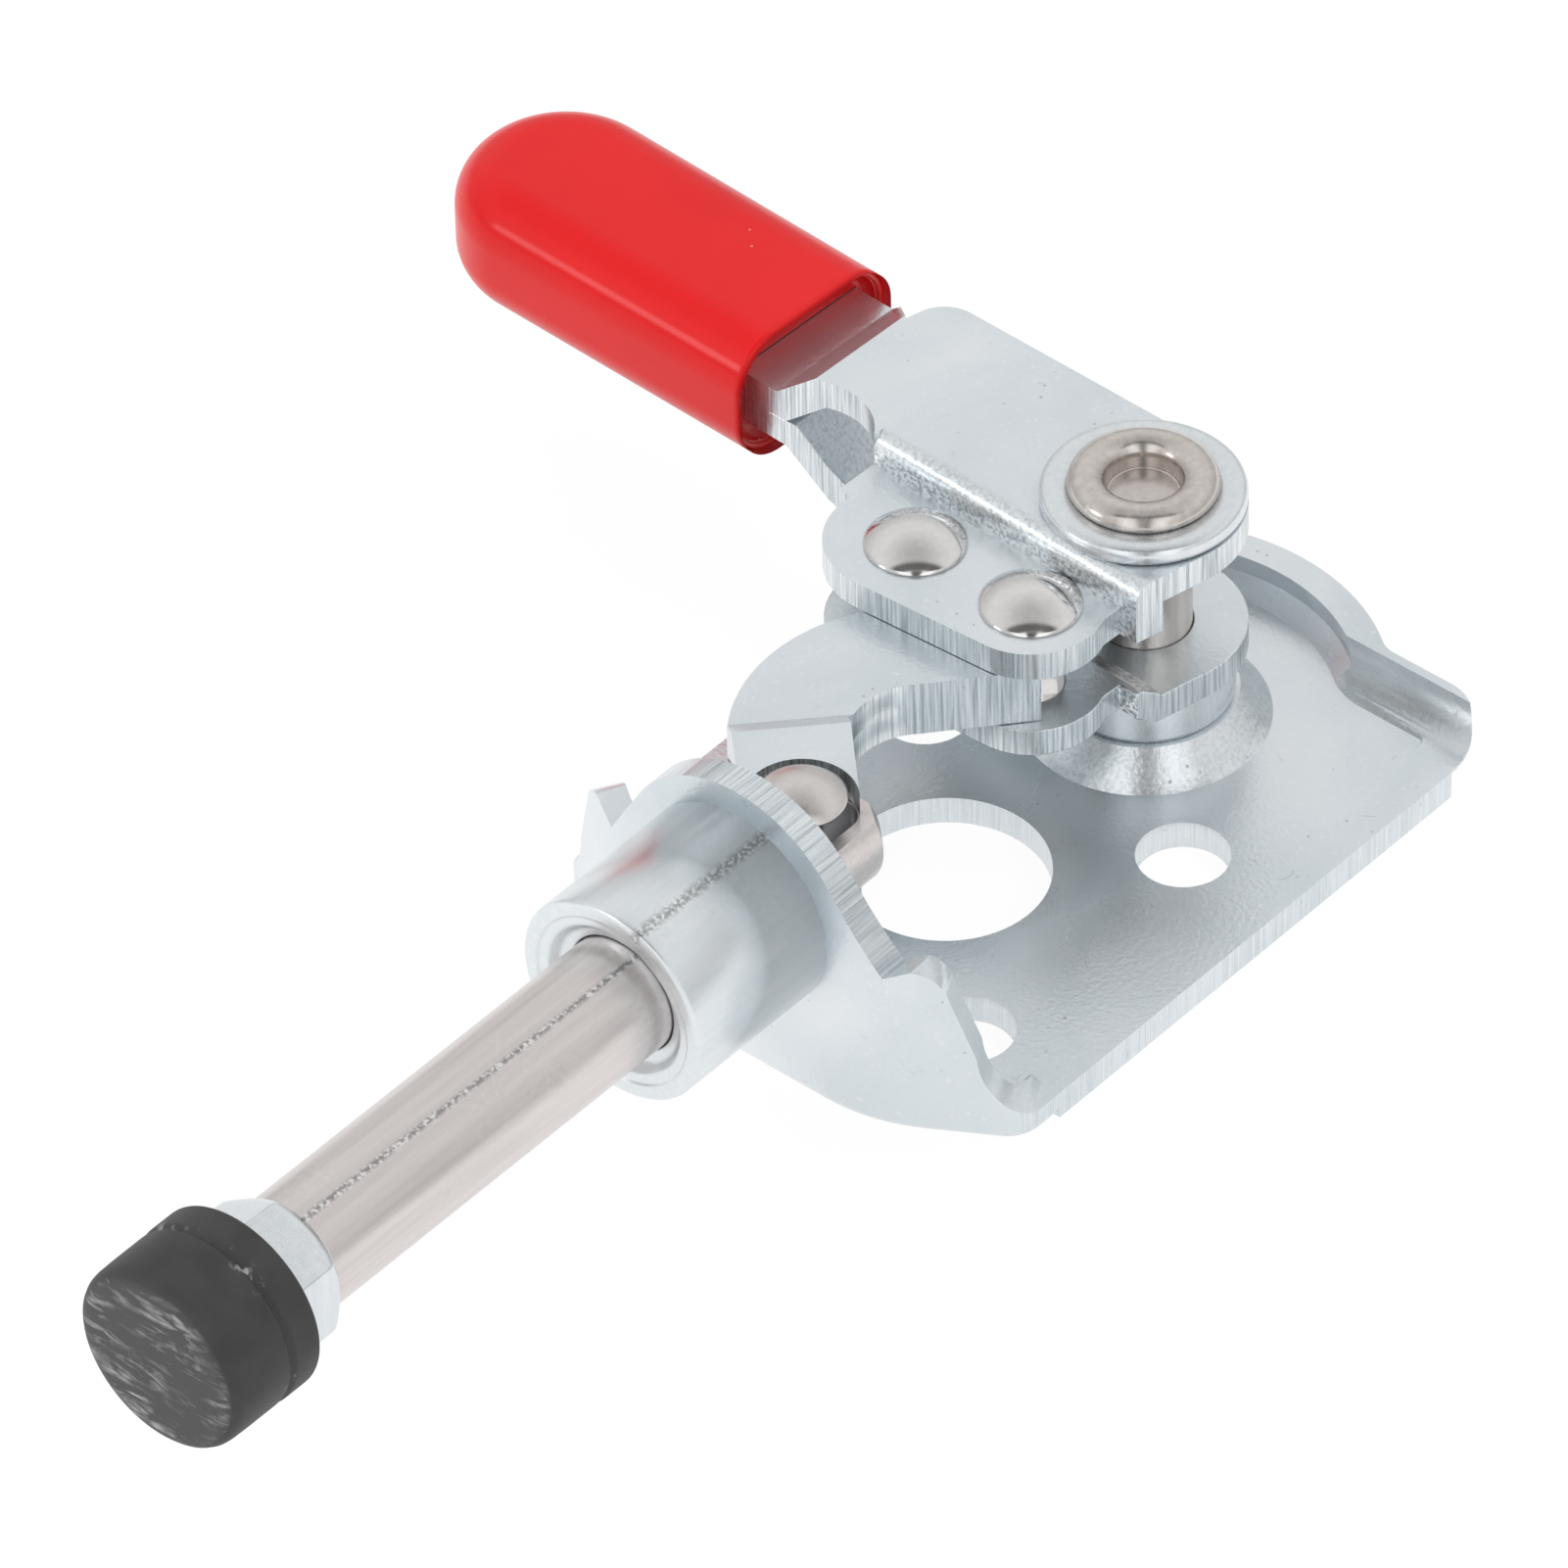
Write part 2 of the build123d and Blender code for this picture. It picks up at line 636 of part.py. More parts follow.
def upper_section():
    """Section across the upper leaf: flat, then down its rounded wall to the lobe."""
    wall = leaf_corner[0]
    far = 3 * leaf_end_r
    ease = joggle_round * (1 - cos(radians(45)))
    with BuildSketch() as section:
        with BuildLine():
            Polyline(
                (wall - joggle_round, upper_leaf_top),
                (-far, upper_leaf_top),
                (-far, upper_leaf_bottom),
                (wall - sheet, upper_leaf_bottom),
                (wall - sheet, lobe_upper_bottom),
                (far, lobe_upper_bottom),
                (far, lobe_upper_bottom + sheet),
                (wall, lobe_upper_bottom + sheet),
                (wall, upper_leaf_top - joggle_round),
            )
            ThreePointArc((wall, upper_leaf_top - joggle_round),
                          (wall - ease, upper_leaf_top - ease),
                          (wall - joggle_round, upper_leaf_top))
        make_face()
    return section.sketch


def lower_section():
    """Section across the lower leaf: flat, then up a short slope to the lobe."""
    foot = leaf_corner[0] - joggle_run
    far = 3 * leaf_end_r
    with BuildSketch() as section:
        with BuildLine():
            Polyline(
                (-far, lower_leaf_bottom),
                (foot, lower_leaf_bottom),
                (leaf_corner[0], lobe_lower_top - sheet),
                (far, lobe_lower_top - sheet),
                (far, lobe_lower_top),
                (leaf_corner[0] - joggle_run / 3, lobe_lower_top),
                (foot - joggle_run / 3, lower_leaf_top),
                (-far, lower_leaf_top),
                close=True,
            )
        make_face()
    return section.sketch


def leaf_head(section):
    """The joggled half of a leaf: its section run along the lever, cut to plan."""
    with BuildPart() as head:
        with BuildSketch(lever_section.offset(-2 * leaf_end_r)):
            add(section)
        extrude(amount=2 * leaf_end_r - joggle_end_y)
        with BuildSketch(lever_plan):
            add(leaf_outline())
            add(lobe_outline())
        extrude(amount=2 * upper_leaf_top, mode=Mode.INTERSECT)
    return head.part


def leaf(section, plate_bottom, tab_bottom, ramp):
    """One stamped leaf: round end, joggled lobe, and a tab offset by a ramp."""
    tab_end = grip_mouth_y - tab_length - 1
    rise = tab_bottom - plate_bottom
    slope = atan2(abs(rise), ramp[0] - ramp[1])
    lean = sheet * sin(slope / 2) / cos(slope / 2) * (1 if rise < 0 else -1)
    with BuildPart() as plate:
        with BuildSketch(lever_side):
            with BuildLine():
                Polyline(
                    (joggle_end_y, plate_bottom),
                    (ramp[0], plate_bottom),
                    (ramp[1], tab_bottom),
                    (tab_end, tab_bottom),
                    (tab_end, tab_bottom + sheet),
                    (ramp[1] - lean, tab_bottom + sheet),
                    (ramp[0] - lean, plate_bottom + sheet),
                    (joggle_end_y, plate_bottom + sheet),
                    close=True,
                )
            make_face()
        extrude(amount=3 * leaf_end_r, both=True)
        with BuildSketch(lever_plan):
            add(leaf_outline())
        extrude(amount=2 * upper_leaf_top, mode=Mode.INTERSECT)
        add(leaf_head(section))
        with Locations(lever_plan):
            Cylinder(shank_r + slide_clear, 4 * upper_leaf_top, mode=Mode.SUBTRACT)
            with Locations(link_pin, stop_pin):
                Cylinder(rivet_shank_r, 4 * upper_leaf_top, mode=Mode.SUBTRACT)
    return plate.part


with BuildPart() as handle_upper_leaf:
    add(leaf(upper_section(), upper_leaf_bottom, tab_joint, upper_ramp))

handle_upper_leaf.part.label = "handle_upper_leaf"
export_step(handle_upper_leaf.part, "parts/handle_upper_leaf.step")

with BuildPart() as handle_lower_leaf:
    add(leaf(lower_section(), lower_leaf_bottom, tab_joint - sheet, lower_ramp))

handle_lower_leaf.part.label = "handle_lower_leaf"
export_step(handle_lower_leaf.part, "parts/handle_lower_leaf.step")

# ---------------------------------------------------------------- lever rivets and stop bush
lever_half_grip = sheet + face_clear + sheet


def lever_point(local):
    """Point of the lever's own axes, given from the lever pivot."""
    return (local[0] * cos(turn) - local[1] * sin(turn), local[0] * sin(turn) + local[1] * cos(turn))


with BuildPart() as link_rivet:
    add(rivet(lever_point(link_pin), lever_half_grip, rivet_shank_r, rivet_head_r, rivet_head_t))

link_rivet.part.label = "link_rivet"
export_step(link_rivet.part, "parts/link_rivet.step")

with BuildPart() as stop_rivet:
    add(rivet(lever_point(stop_pin), lever_half_grip, rivet_shank_r, rivet_head_r, rivet_head_t))

stop_rivet.part.label = "stop_rivet"
export_step(stop_rivet.part, "parts/stop_rivet.step")

with BuildPart() as stop_bush:
    with BuildSketch(lever_plan.offset(lobe_lower_top)):
        with Locations(stop_pin):
            Circle(stop_bush_r)
            Circle(rivet_shank_r, mode=Mode.SUBTRACT)
    extrude(amount=lobe_upper_bottom - lobe_lower_top)

stop_bush.part.label = "stop_bush"
export_step(stop_bush.part, "parts/stop_bush.step")

# ---------------------------------------------------------------- grip
grip_axis_z = tab_joint
grip_end_y = grip_mouth_y - grip_length


def grip_outline():
    """Plan of the grip, widening a little towards its round end."""
    mouth = grip_mouth_w / 2
    wide = grip_end_w / 2
    round_y = grip_end_y + wide
    with BuildSketch() as outline:
        with BuildLine():
            Line((mouth, grip_mouth_y), (wide, round_y))
            ThreePointArc((wide, round_y), (0, grip_end_y), (-wide, round_y))
            Line((-wide, round_y), (-mouth, grip_mouth_y))
            Line((-mouth, grip_mouth_y), (mouth, grip_mouth_y))
        make_face()
    return outline.sketch


with BuildPart() as grip:
    with BuildSketch(lever_plan.offset(grip_axis_z - grip_h / 2)):
        add(grip_outline())
    extrude(amount=grip_h)
    long_edges = grip.edges().filter_by(lambda e: abs(abs(e.center().Z - grip_axis_z) - grip_h / 2) < 0.01)
    long_edges = long_edges.filter_by(
        lambda e: abs(lever_side.to_local_coords(e.center()).X - grip_mouth_y) > 0.01)
    fillet(long_edges, grip_edge_r)
    with BuildSketch(lever_section.offset(-grip_mouth_y)):
        with Locations((0, grip_axis_z)):
            RectangleRounded(grip_mouth_w - 2 * grip_wall, grip_h - 2 * grip_wall, grip_edge_r - grip_wall)
    extrude(amount=grip_mouth_depth, mode=Mode.SUBTRACT)
    with BuildSketch(lever_section.offset(-grip_mouth_y)):
        with Locations((0, grip_axis_z)):
            Rectangle(tab_width + 2 * grip_clear, 2 * (sheet + grip_clear))
    extrude(amount=tab_length + grip_wall, mode=Mode.SUBTRACT)
    with BuildSketch(lever_section.offset(-grip_end_y - grip_wall)):
        with Locations((0, grip_axis_z)):
            Circle(grip_tip_r)
    extrude(amount=grip_wall + grip_tip_rise)
    chamfer(grip.edges().filter_by(GeomType.CIRCLE).sort_by_distance(
        lever_plan.from_local_coords((0, grip_end_y - grip_tip_rise, grip_axis_z)))[0], edge_break)

grip.part.label = "grip"
export_step(grip.part, "parts/grip.step")

# ---------------------------------------------------------------- pivot stud, spacer, washer
with BuildPart() as pivot_stud:
    with BuildSketch(Plane(origin=(pivot_x, 0, 0), x_dir=(1, 0, 0), z_dir=(0, -1, 0))):
        with BuildLine():
            crown = washer_top + stud_head_t
            Polyline(
                (0, stud_foot_gap),
                (stud_foot_r - edge_break, stud_foot_gap),
                (stud_foot_r, stud_foot_gap + edge_break),
                (stud_foot_r, boss_rise),
                (shank_r, boss_rise),
                (shank_r, washer_top),
                (stud_head_r - edge_break, washer_top),
                (stud_head_r, washer_top + edge_break),
                (stud_head_r, crown - stud_roll_drop),
                (stud_head_r - stud_roll, crown),
                (stud_bore_r + stud_roll, crown),
                (stud_bore_r, crown - stud_roll_drop),
                (stud_bore_r, crown - stud_bore_depth),
                (0, crown - stud_bore_depth),
                close=True,
            )
        make_face()
    revolve(axis=Axis((pivot_x, 0, 0), (0, 0, 1)))

pivot_stud.part.label = "pivot_stud"
export_step(pivot_stud.part, "parts/pivot_stud.step")

with BuildPart() as pivot_spacer:
    with BuildSketch(pivot_plan.offset(spacer_bottom)):
        Circle(spacer_r)
        Circle(shank_r, mode=Mode.SUBTRACT)
    extrude(amount=lower_leaf_bottom - face_clear - spacer_bottom)
    chamfer(pivot_spacer.faces().sort_by(Axis.Z)[0].outer_wire().edges(), spacer_edge)

pivot_spacer.part.label = "pivot_spacer"
export_step(pivot_spacer.part, "parts/pivot_spacer.step")

with BuildPart() as pivot_washer:
    with BuildSketch(pivot_plan.offset(washer_top - washer_t)):
        Circle(washer_r)
        Circle(shank_r, mode=Mode.SUBTRACT)
    extrude(amount=washer_t)
    chamfer(pivot_washer.faces().sort_by(Axis.Z)[-1].outer_wire().edges(), edge_break)

pivot_washer.part.label = "pivot_washer"
export_step(pivot_washer.part, "parts/pivot_washer.step")
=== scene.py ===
# %% [markdown]
# # A push-pull toggle clamp
#
# The clamp is a small machine of stamped and turned steel.  A zinc-plated base
# plate carries a sleeve, a lever with a dipped red grip turns on a stud, and a
# hooked link pushes a nickel-plated rod through the sleeve.  The rod ends in a
# black rubber tip.
#
# The measured solids come in first as a fixed frame.  They could simply be
# painted, but a stamped edge is never knife-sharp, so each stamping becomes a
# copy of its solid with a small bevel, and the turned and moulded pieces are
# worked out again as smooth surfaces.

import bmesh
import bpy
import numpy as np
from mathutils import Matrix


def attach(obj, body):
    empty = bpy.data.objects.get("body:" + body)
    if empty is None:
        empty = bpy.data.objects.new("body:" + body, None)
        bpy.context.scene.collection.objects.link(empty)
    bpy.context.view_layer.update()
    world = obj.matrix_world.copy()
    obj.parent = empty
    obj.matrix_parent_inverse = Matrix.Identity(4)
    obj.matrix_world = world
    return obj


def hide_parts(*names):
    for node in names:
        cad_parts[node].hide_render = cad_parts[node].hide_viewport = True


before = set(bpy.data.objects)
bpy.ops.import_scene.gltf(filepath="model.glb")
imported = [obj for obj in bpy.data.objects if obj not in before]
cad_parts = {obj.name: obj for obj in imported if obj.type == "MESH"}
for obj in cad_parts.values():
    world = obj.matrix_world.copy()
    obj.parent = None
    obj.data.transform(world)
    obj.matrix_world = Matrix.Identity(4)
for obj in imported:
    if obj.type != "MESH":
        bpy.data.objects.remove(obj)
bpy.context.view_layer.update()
MM = 0.001
TAU = 2 * np.pi
print("solids in the frame:", len(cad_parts))

# %% [markdown]
# ## The camera
#
# A long lens from far away keeps parallel edges nearly parallel, which suits a
# small tool.  The camera could be aimed with a constraint, but its place and
# its turn are known, so they are written as a matrix: its right-hand, upward
# and backward directions, and where it stands.

# %% Place the camera
FRAME_PX = 1601
LENS_PX = 17050
SENSOR = 36.0
NEAR, FAR = 0.05, 20
RIGHT = (-0.65068344, 0.75915020, -0.01737880)
UP = (-0.51398707, -0.42347168, 0.74598192)
BACK = (0.55895290, 0.49433056, 0.66573940)
EYE = (0.45556691, 0.39252310, 0.54384139)

camera = bpy.data.objects.new("camera", bpy.data.cameras.new("camera"))
camera.data.sensor_width = SENSOR
camera.data.lens = LENS_PX / FRAME_PX * SENSOR
camera.data.clip_start = NEAR
camera.data.clip_end = FAR
turn = Matrix((RIGHT, UP, BACK)).transposed().to_4x4()
camera.matrix_world = Matrix.Translation(EYE) @ turn
bpy.context.scene.collection.objects.link(camera)
bpy.context.scene.camera = camera
bpy.context.scene.view_settings.view_transform = "Standard"
print(f"lens {camera.data.lens:.0f} mm")

# %% [markdown]
# ## Three small helpers
#
# A colour is easiest to pick as an sRGB hex value, but shaders work in linear
# light, so one function turns it over.  A second one adds any shader node with
# its settings and its links, which keeps each material readable as a recipe.
# The third opens an empty material.


# %% Helpers for colours and shader nodes
def linear(code):
    """sRGB hex to linear: below 0.04045 divide by 12.92, above it a 2.4 power."""
    c = np.array([int(code[i:i + 2], 16) for i in (1, 3, 5)]) / 255
    c = np.where(c <= 0.04045, c / 12.92, ((c + 0.055) / 1.055) ** 2.4)
    return (*c.tolist(), 1.0)


def node(tree, kind, settings=None, inputs=None, stops=()):
    """Adds a shader node.

    An input is a value, a socket, or a node, which gives its first active
    output.  Stops fill a colour ramp; each is (place, grey or hex colour).
    """
    made = tree.nodes.new("ShaderNode" + kind)
    for key, value in (settings or {}).items():
        setattr(made, key, value)
    for key, value in (inputs or {}).items():
        if isinstance(value, bpy.types.Node):
            value = next(socket for socket in value.outputs if socket.enabled)
        if isinstance(value, bpy.types.NodeSocket):
            tree.links.new(value, made.inputs[key])
        else:
            made.inputs[key].default_value = value
    slots = made.color_ramp.elements if stops else []
    while len(slots) < len(stops):
        slots.new(0.5)
    for slot, (place, tone) in zip(slots, stops):
        slot.position = place
        slot.color = linear(tone) if isinstance(tone, str) else (tone, tone, tone, 1)
    return made


def new_material(name):
    """An empty material with its output node, ready for a recipe."""
    material = bpy.data.materials.new(name)
    material.use_nodes = True
    material.node_tree.nodes.clear()
    return material, material.node_tree, node(material.node_tree, "OutputMaterial")


TIMES = {"operation": "MULTIPLY"}
MOST = {"operation": "MAXIMUM"}
LESS = {"operation": "SUBTRACT"}
SIZE = {"operation": "ABSOLUTE"}
TIMES_AND_ADD = {"operation": "MULTIPLY_ADD"}
COLOURS = {"data_type": "RGBA"}
VALUES = {"data_type": "FLOAT"}
print("white is", linear("#ffffff"))

# %% [markdown]
# ## Floor
#
# The clamp lies on a white table.  Strong lamps could wash the table out to
# white, but they would wash the metal out too.  Instead the floor simply
# glows white to the camera, in reflections and through glass, and a tenth of
# it stays a matt surface, so the clamp keeps a faint shadow.

# %% A white floor
GLOW_SHARE = 0.90
FLOOR_HALF = 3.0

floor_paint, tree, out = new_material("white_table")
path = node(tree, "LightPath").outputs
seen = node(tree, "Math", MOST, {0: path["Is Camera Ray"], 1: path["Is Glossy Ray"]})
seen = node(tree, "Math", MOST, {0: seen, 1: path["Is Transmission Ray"]})
matt = node(tree, "BsdfDiffuse", inputs={"Color": linear("#e8e8e8")})
glow = node(tree, "Emission", inputs={"Color": (1, 1, 1, 1), "Strength": 1.04})
share = node(tree, "Math", TIMES, {0: seen, 1: GLOW_SHARE})
white = node(tree, "MixShader", inputs={0: share, 1: matt, 2: glow})
tree.links.new(white.outputs[0], out.inputs["Surface"])

corners = [(-FLOOR_HALF, -FLOOR_HALF, 0), (FLOOR_HALF, -FLOOR_HALF, 0),
           (FLOOR_HALF, FLOOR_HALF, 0), (-FLOOR_HALF, FLOOR_HALF, 0)]
floor_mesh = bpy.data.meshes.new("floor")
floor_mesh.from_pydata(corners, [], [(0, 1, 2, 3)])
floor = bpy.data.objects.new("floor", floor_mesh)
floor_mesh.materials.append(floor_paint)
bpy.context.scene.collection.objects.link(floor)
print("the floor is", 2 * FLOOR_HALF, "m wide")

# %% [markdown]
# ## The tent
#
# What polished metal mirrors decides how it looks.  A plain white world would
# leave it flat, so metal sees a light tent with a greyer ceiling.  On the
# camera's side stand two bright panels with a dark gap between them, where the
# camera is, and a dark strip hangs above them.  One small bright bulb draws a
# fine line of light along a rounded edge.  To the camera, the world is white.

# %% World
FORWARD = (0.749, 0.662, 0.0)
BULB = (0.817, -0.494, 0.298)

world = bpy.data.worlds.new("white_tent")
bpy.context.scene.world = world
world.use_nodes = True
tree = world.node_tree
tree.nodes.clear()
out = node(tree, "OutputWorld")
camera_ray = node(tree, "LightPath").outputs["Is Camera Ray"]
sky = node(tree, "TexCoord").outputs["Generated"]
height = node(tree, "SeparateXYZ", inputs={0: sky}).outputs["Z"]
shell = node(tree, "ValToRGB", inputs={0: height},
             stops=[(0.0, 0.50), (0.25, 0.66), (0.50, 0.84), (0.70, 0.89), (0.88, 0.74),
                    (1.0, 0.52)])

DOT = {"operation": "DOT_PRODUCT"}
aside = node(tree, "Math", SIZE, {0: node(tree, "VectorMath", DOT, {0: sky, 1: RIGHT})})
forward = node(tree, "VectorMath", DOT, {0: sky, 1: FORWARD})
near_bulb = node(tree, "VectorMath", DOT, {0: sky, 1: BULB})
panels = node(tree, "ValToRGB", inputs={0: aside},
              stops=[(0.10, 0.06), (0.18, 1.35), (0.46, 1.35), (0.62, 0.70)])
front = node(tree, "ValToRGB", inputs={0: forward}, stops=[(0.38, 0.0), (0.44, 1.0)])
strip = node(tree, "ValToRGB", inputs={0: forward},
             stops=[(0.15, 0.0), (0.24, 1.0), (0.38, 1.0), (0.43, 0.0)])
strip_ends = node(tree, "ValToRGB", inputs={0: aside}, stops=[(0.50, 1.0), (0.70, 0.0)])
strip = node(tree, "Math", TIMES, {0: strip, 1: strip_ends})
bulb = node(tree, "ValToRGB", inputs={0: near_bulb}, stops=[(0.990, 0.0), (0.995, 1.0)])

tent = node(tree, "Mix", COLOURS, {0: front, 6: shell, 7: panels})
tent = node(tree, "Mix", COLOURS, {0: strip, 6: tent, 7: (0.07, 0.07, 0.07, 1)})
tent = node(tree, "Mix", COLOURS, {0: bulb, 6: tent, 7: (5, 5, 5, 1)})
tent_light = node(tree, "Background", inputs={"Color": tent, "Strength": 1.0})
plain = node(tree, "Background", inputs={"Color": (1, 1, 1, 1), "Strength": 1.0})
pick = node(tree, "MixShader", inputs={0: camera_ray, 1: tent_light, 2: plain})
tree.links.new(pick.outputs[0], out.inputs["Surface"])
print("the tent has", len(tree.nodes), "nodes")

# %% [markdown]
# ## Lamps
#
# Three soft area lamps shape the grip and the rubber.  A sun would be
# simpler, but its shadows are hard.  The lamps are hidden from reflections,
# as each would stand in the metal as a bright square.


# %% Lamps
def soft_lamp(name, place, size, power):
    """A square area lamp at a place, its back axis pointing away from the clamp's middle."""
    lamp = bpy.data.lights.new(name, "AREA")
    lamp.size = size
    lamp.energy = power
    holder = bpy.data.objects.new(name, lamp)
    back = np.subtract(place, AIM)
    back = back / np.linalg.norm(back)
    right = np.cross((0, 0, 1), back)
    right = right / np.linalg.norm(right)
    axes = Matrix((right, np.cross(back, right), back)).transposed().to_4x4()
    holder.matrix_world = Matrix.Translation(place) @ axes
    holder.visible_glossy = False
    bpy.context.scene.collection.objects.link(holder)


AIM = (0.005, 0, 0.01)
soft_lamp("key", (-0.30, 0.10, 0.55), 0.35, 1.2)
soft_lamp("fill", (0.45, -0.35, 0.35), 0.35, 1.7)
soft_lamp("side", (0.05, 0.60, 0.30), 0.30, 0.8)
print("three lamps")

# %% [markdown]
# ## Zinc-plated sheet
#
# Bright zinc over rolled steel is a bluish grey metal with a slightly
# orange-peel skin.  It carries short hair scratches, small dark pits and faint
# stains.  Where the press sheared the sheet, the cut is rougher and shows
# streaks across the thickness, and where it stretched the sheet round a bend,
# the skin breaks up and sparkles.  The pieces carry three attributes for this:
# `cut` and `worked` say where, and `grain` is the place with the thickness
# squeezed, so one noise in real millimetres makes the streaks.  Real peel and
# sparkle are finer than a pixel here, so both are drawn a little coarser, and
# the sparkle's white specks are painted glints.

# %% Zinc: its patterns
PEEL = 0.26 * MM
PIT = 0.9 * MM
PIT_FIELD = 3.5 * MM
STAIN = 9.0 * MM
SHEAR = 0.13 * MM
SPARKLE = 0.22 * MM

zinc_plate, tree, out = new_material("zinc_plated_sheet")
place = node(tree, "TexCoord").outputs["Object"]
cut = node(tree, "Attribute", {"attribute_name": "cut"}).outputs["Fac"]
worked = node(tree, "Attribute", {"attribute_name": "worked"}).outputs["Fac"]
grain = node(tree, "Attribute", {"attribute_name": "grain"}).outputs["Vector"]
stain = node(tree, "TexNoise", {}, {"Vector": place, "Scale": 1 / STAIN, "Detail": 5.0,
                                    "Distortion": 0.6})
skin = node(tree, "TexNoise", {}, {"Vector": place, "Scale": 1 / PEEL, "Detail": 4.0})
shear = node(tree, "TexNoise", {}, {"Vector": grain, "Scale": 1 / SHEAR, "Detail": 3.0})
sparkle = node(tree, "TexNoise", {}, {"Vector": place, "Scale": 1 / SPARKLE, "Detail": 2.0})

holes = node(tree, "TexVoronoi", {}, {"Vector": place, "Scale": 1 / PIT})
holes = node(tree, "ValToRGB", {}, {0: holes}, [(0.04, 1.0), (0.12, 0.0)])
field = node(tree, "TexNoise", {}, {"Vector": place, "Scale": 1 / PIT_FIELD, "Detail": 3.0})
field = node(tree, "ValToRGB", {}, {0: field}, [(0.52, 0.0), (0.66, 1.0)])
pits = node(tree, "Math", TIMES, {0: holes, 1: field})
print("peel", PEEL / MM, "mm, pits", PIT / MM, "mm")

# %% [markdown]
# ### Hair scratches
#
# Loose parts in a plating drum scratch each other in short curved hairs.  They
# could be drawn as curves, but there are hundreds.  So the thin walls between
# warped cells stand for them, shown only in small patches.

# %% Zinc: hair scratches
HAIR = 3.2 * MM
WARP = 2.0 * MM
WARP_BY = 1.4 * MM
HAIR_PATCH = 1.1 * MM

warp = node(tree, "TexNoise", {}, {"Vector": place, "Scale": 1 / WARP, "Detail": 1.0})
bent = node(tree, "VectorMath", TIMES_AND_ADD,
            {0: warp.outputs["Color"], 1: (WARP_BY, WARP_BY, WARP_BY), 2: place})
walls = node(tree, "TexVoronoi", {"feature": "DISTANCE_TO_EDGE"},
             {"Vector": bent, "Scale": 1 / HAIR})
walls = node(tree, "ValToRGB", {}, {0: walls.outputs["Distance"]}, [(0.003, 1.0), (0.010, 0.0)])
patches = node(tree, "TexNoise", {}, {"Vector": place, "Scale": 1 / HAIR_PATCH, "Detail": 1.0})
patches = node(tree, "ValToRGB", {}, {0: patches}, [(0.66, 0.0), (0.72, 1.0)])
hair = node(tree, "Math", TIMES, {0: walls, 1: patches})
print("hairs about", HAIR / MM, "mm long")

# %% [markdown]
# ### The zinc's colour and relief
#
# Each pattern tints the colour a little, and the same patterns press the skin
# in or out, so a pit is dark and also deep.

# %% Zinc: colour, relief and shader
DEPTH_SKIN = 0.03 * MM

tint = node(tree, "ValToRGB", {}, {0: stain},
            [(0.30, "#d2dade"), (0.55, "#dee4e8"), (0.75, "#e8ecef")])
specks = node(tree, "ValToRGB", {}, {0: skin}, [(0.60, 0.0), (0.80, 0.5)])
tint = node(tree, "Mix", COLOURS, {0: specks, 6: tint, 7: linear("#f4f6f7")})
pit_tint = node(tree, "Math", TIMES, {0: pits, 1: 0.6})
tint = node(tree, "Mix", COLOURS, {0: pit_tint, 6: tint, 7: linear("#8b9195")})
hair_tint = node(tree, "Math", TIMES, {0: hair, 1: 0.25})
tint = node(tree, "Mix", COLOURS, {0: hair_tint, 6: tint, 7: linear("#8b9398")})
streaks = node(tree, "ValToRGB", {}, {0: shear},
               [(0.34, "#9da6ac"), (0.50, "#d0d7db"), (0.64, "#f0f3f4")])
cut_tint = node(tree, "Math", TIMES, {0: cut, 1: 0.8})
tint = node(tree, "Mix", COLOURS, {0: cut_tint, 6: tint, 7: streaks})
# The worked flecks are partly the stretched skin's own dark specks and partly painted glints: the
# white specks stand for its sparkle.
specks_and_painted_light = node(tree, "ValToRGB", {}, {0: sparkle},
              [(0.38, "#656c70"), (0.49, "#d2d8db"), (0.58, "#ffffff")])
worked_specks_and_painted_glints = node(tree, "Math", TIMES, {0: worked, 1: 0.8})
tint = node(tree, "Mix", COLOURS, {0: worked_specks_and_painted_glints, 6: tint, 7: specks_and_painted_light})

rough = node(tree, "Math", TIMES_AND_ADD, {0: stain, 1: 0.16, 2: 0.19})
rough = node(tree, "Mix", VALUES, {0: worked, 2: rough, 3: 0.22})
torn = node(tree, "Math", TIMES, {0: shear, 1: 0.7})
relief = node(tree, "Mix", VALUES, {0: cut, 2: skin, 3: torn})
broken = node(tree, "Math", TIMES, {0: sparkle, 1: 2.2})
relief = node(tree, "Mix", VALUES, {0: worked, 2: relief, 3: broken})
relief = node(tree, "Math", TIMES_AND_ADD, {0: pits, 1: -0.9, 2: relief})
relief = node(tree, "Math", TIMES_AND_ADD, {0: hair, 1: -0.25, 2: relief})
bump = node(tree, "Bump", {}, {"Height": relief, "Strength": 0.60, "Distance": DEPTH_SKIN})
shader = node(tree, "BsdfPrincipled", {}, {"Base Color": tint, "Metallic": 0.86,
                                           "Roughness": rough, "Normal": bump})
tree.links.new(shader.outputs[0], out.inputs["Surface"])
print("zinc has", len(tree.nodes), "nodes")

# %% [markdown]
# ## Turned zinc and nickel
#
# A turned piece shows fine rings or, when it was drawn through a die, fine
# lines along it.  The rod and the sleeve each mirror one dark line of the room,
# and their grain breaks it into specks.  The specks could be left to a lamp,
# but then they would move with the light, so the line is painted on the skin
# as a painted reflection, where the normal points that way.


# %% Turned and drawn metal
# The angle of the normal, in degrees, where the painted reflection of a dark line lies.
PAINTED_REFLECTION_ANGLE = 71.0
GRAIN = 0.45 * MM
GRIT = 0.30 * MM
GRAIN_PATCH = 5 * MM
WANDER = 1.2 * MM
FLECK = 0.22 * MM


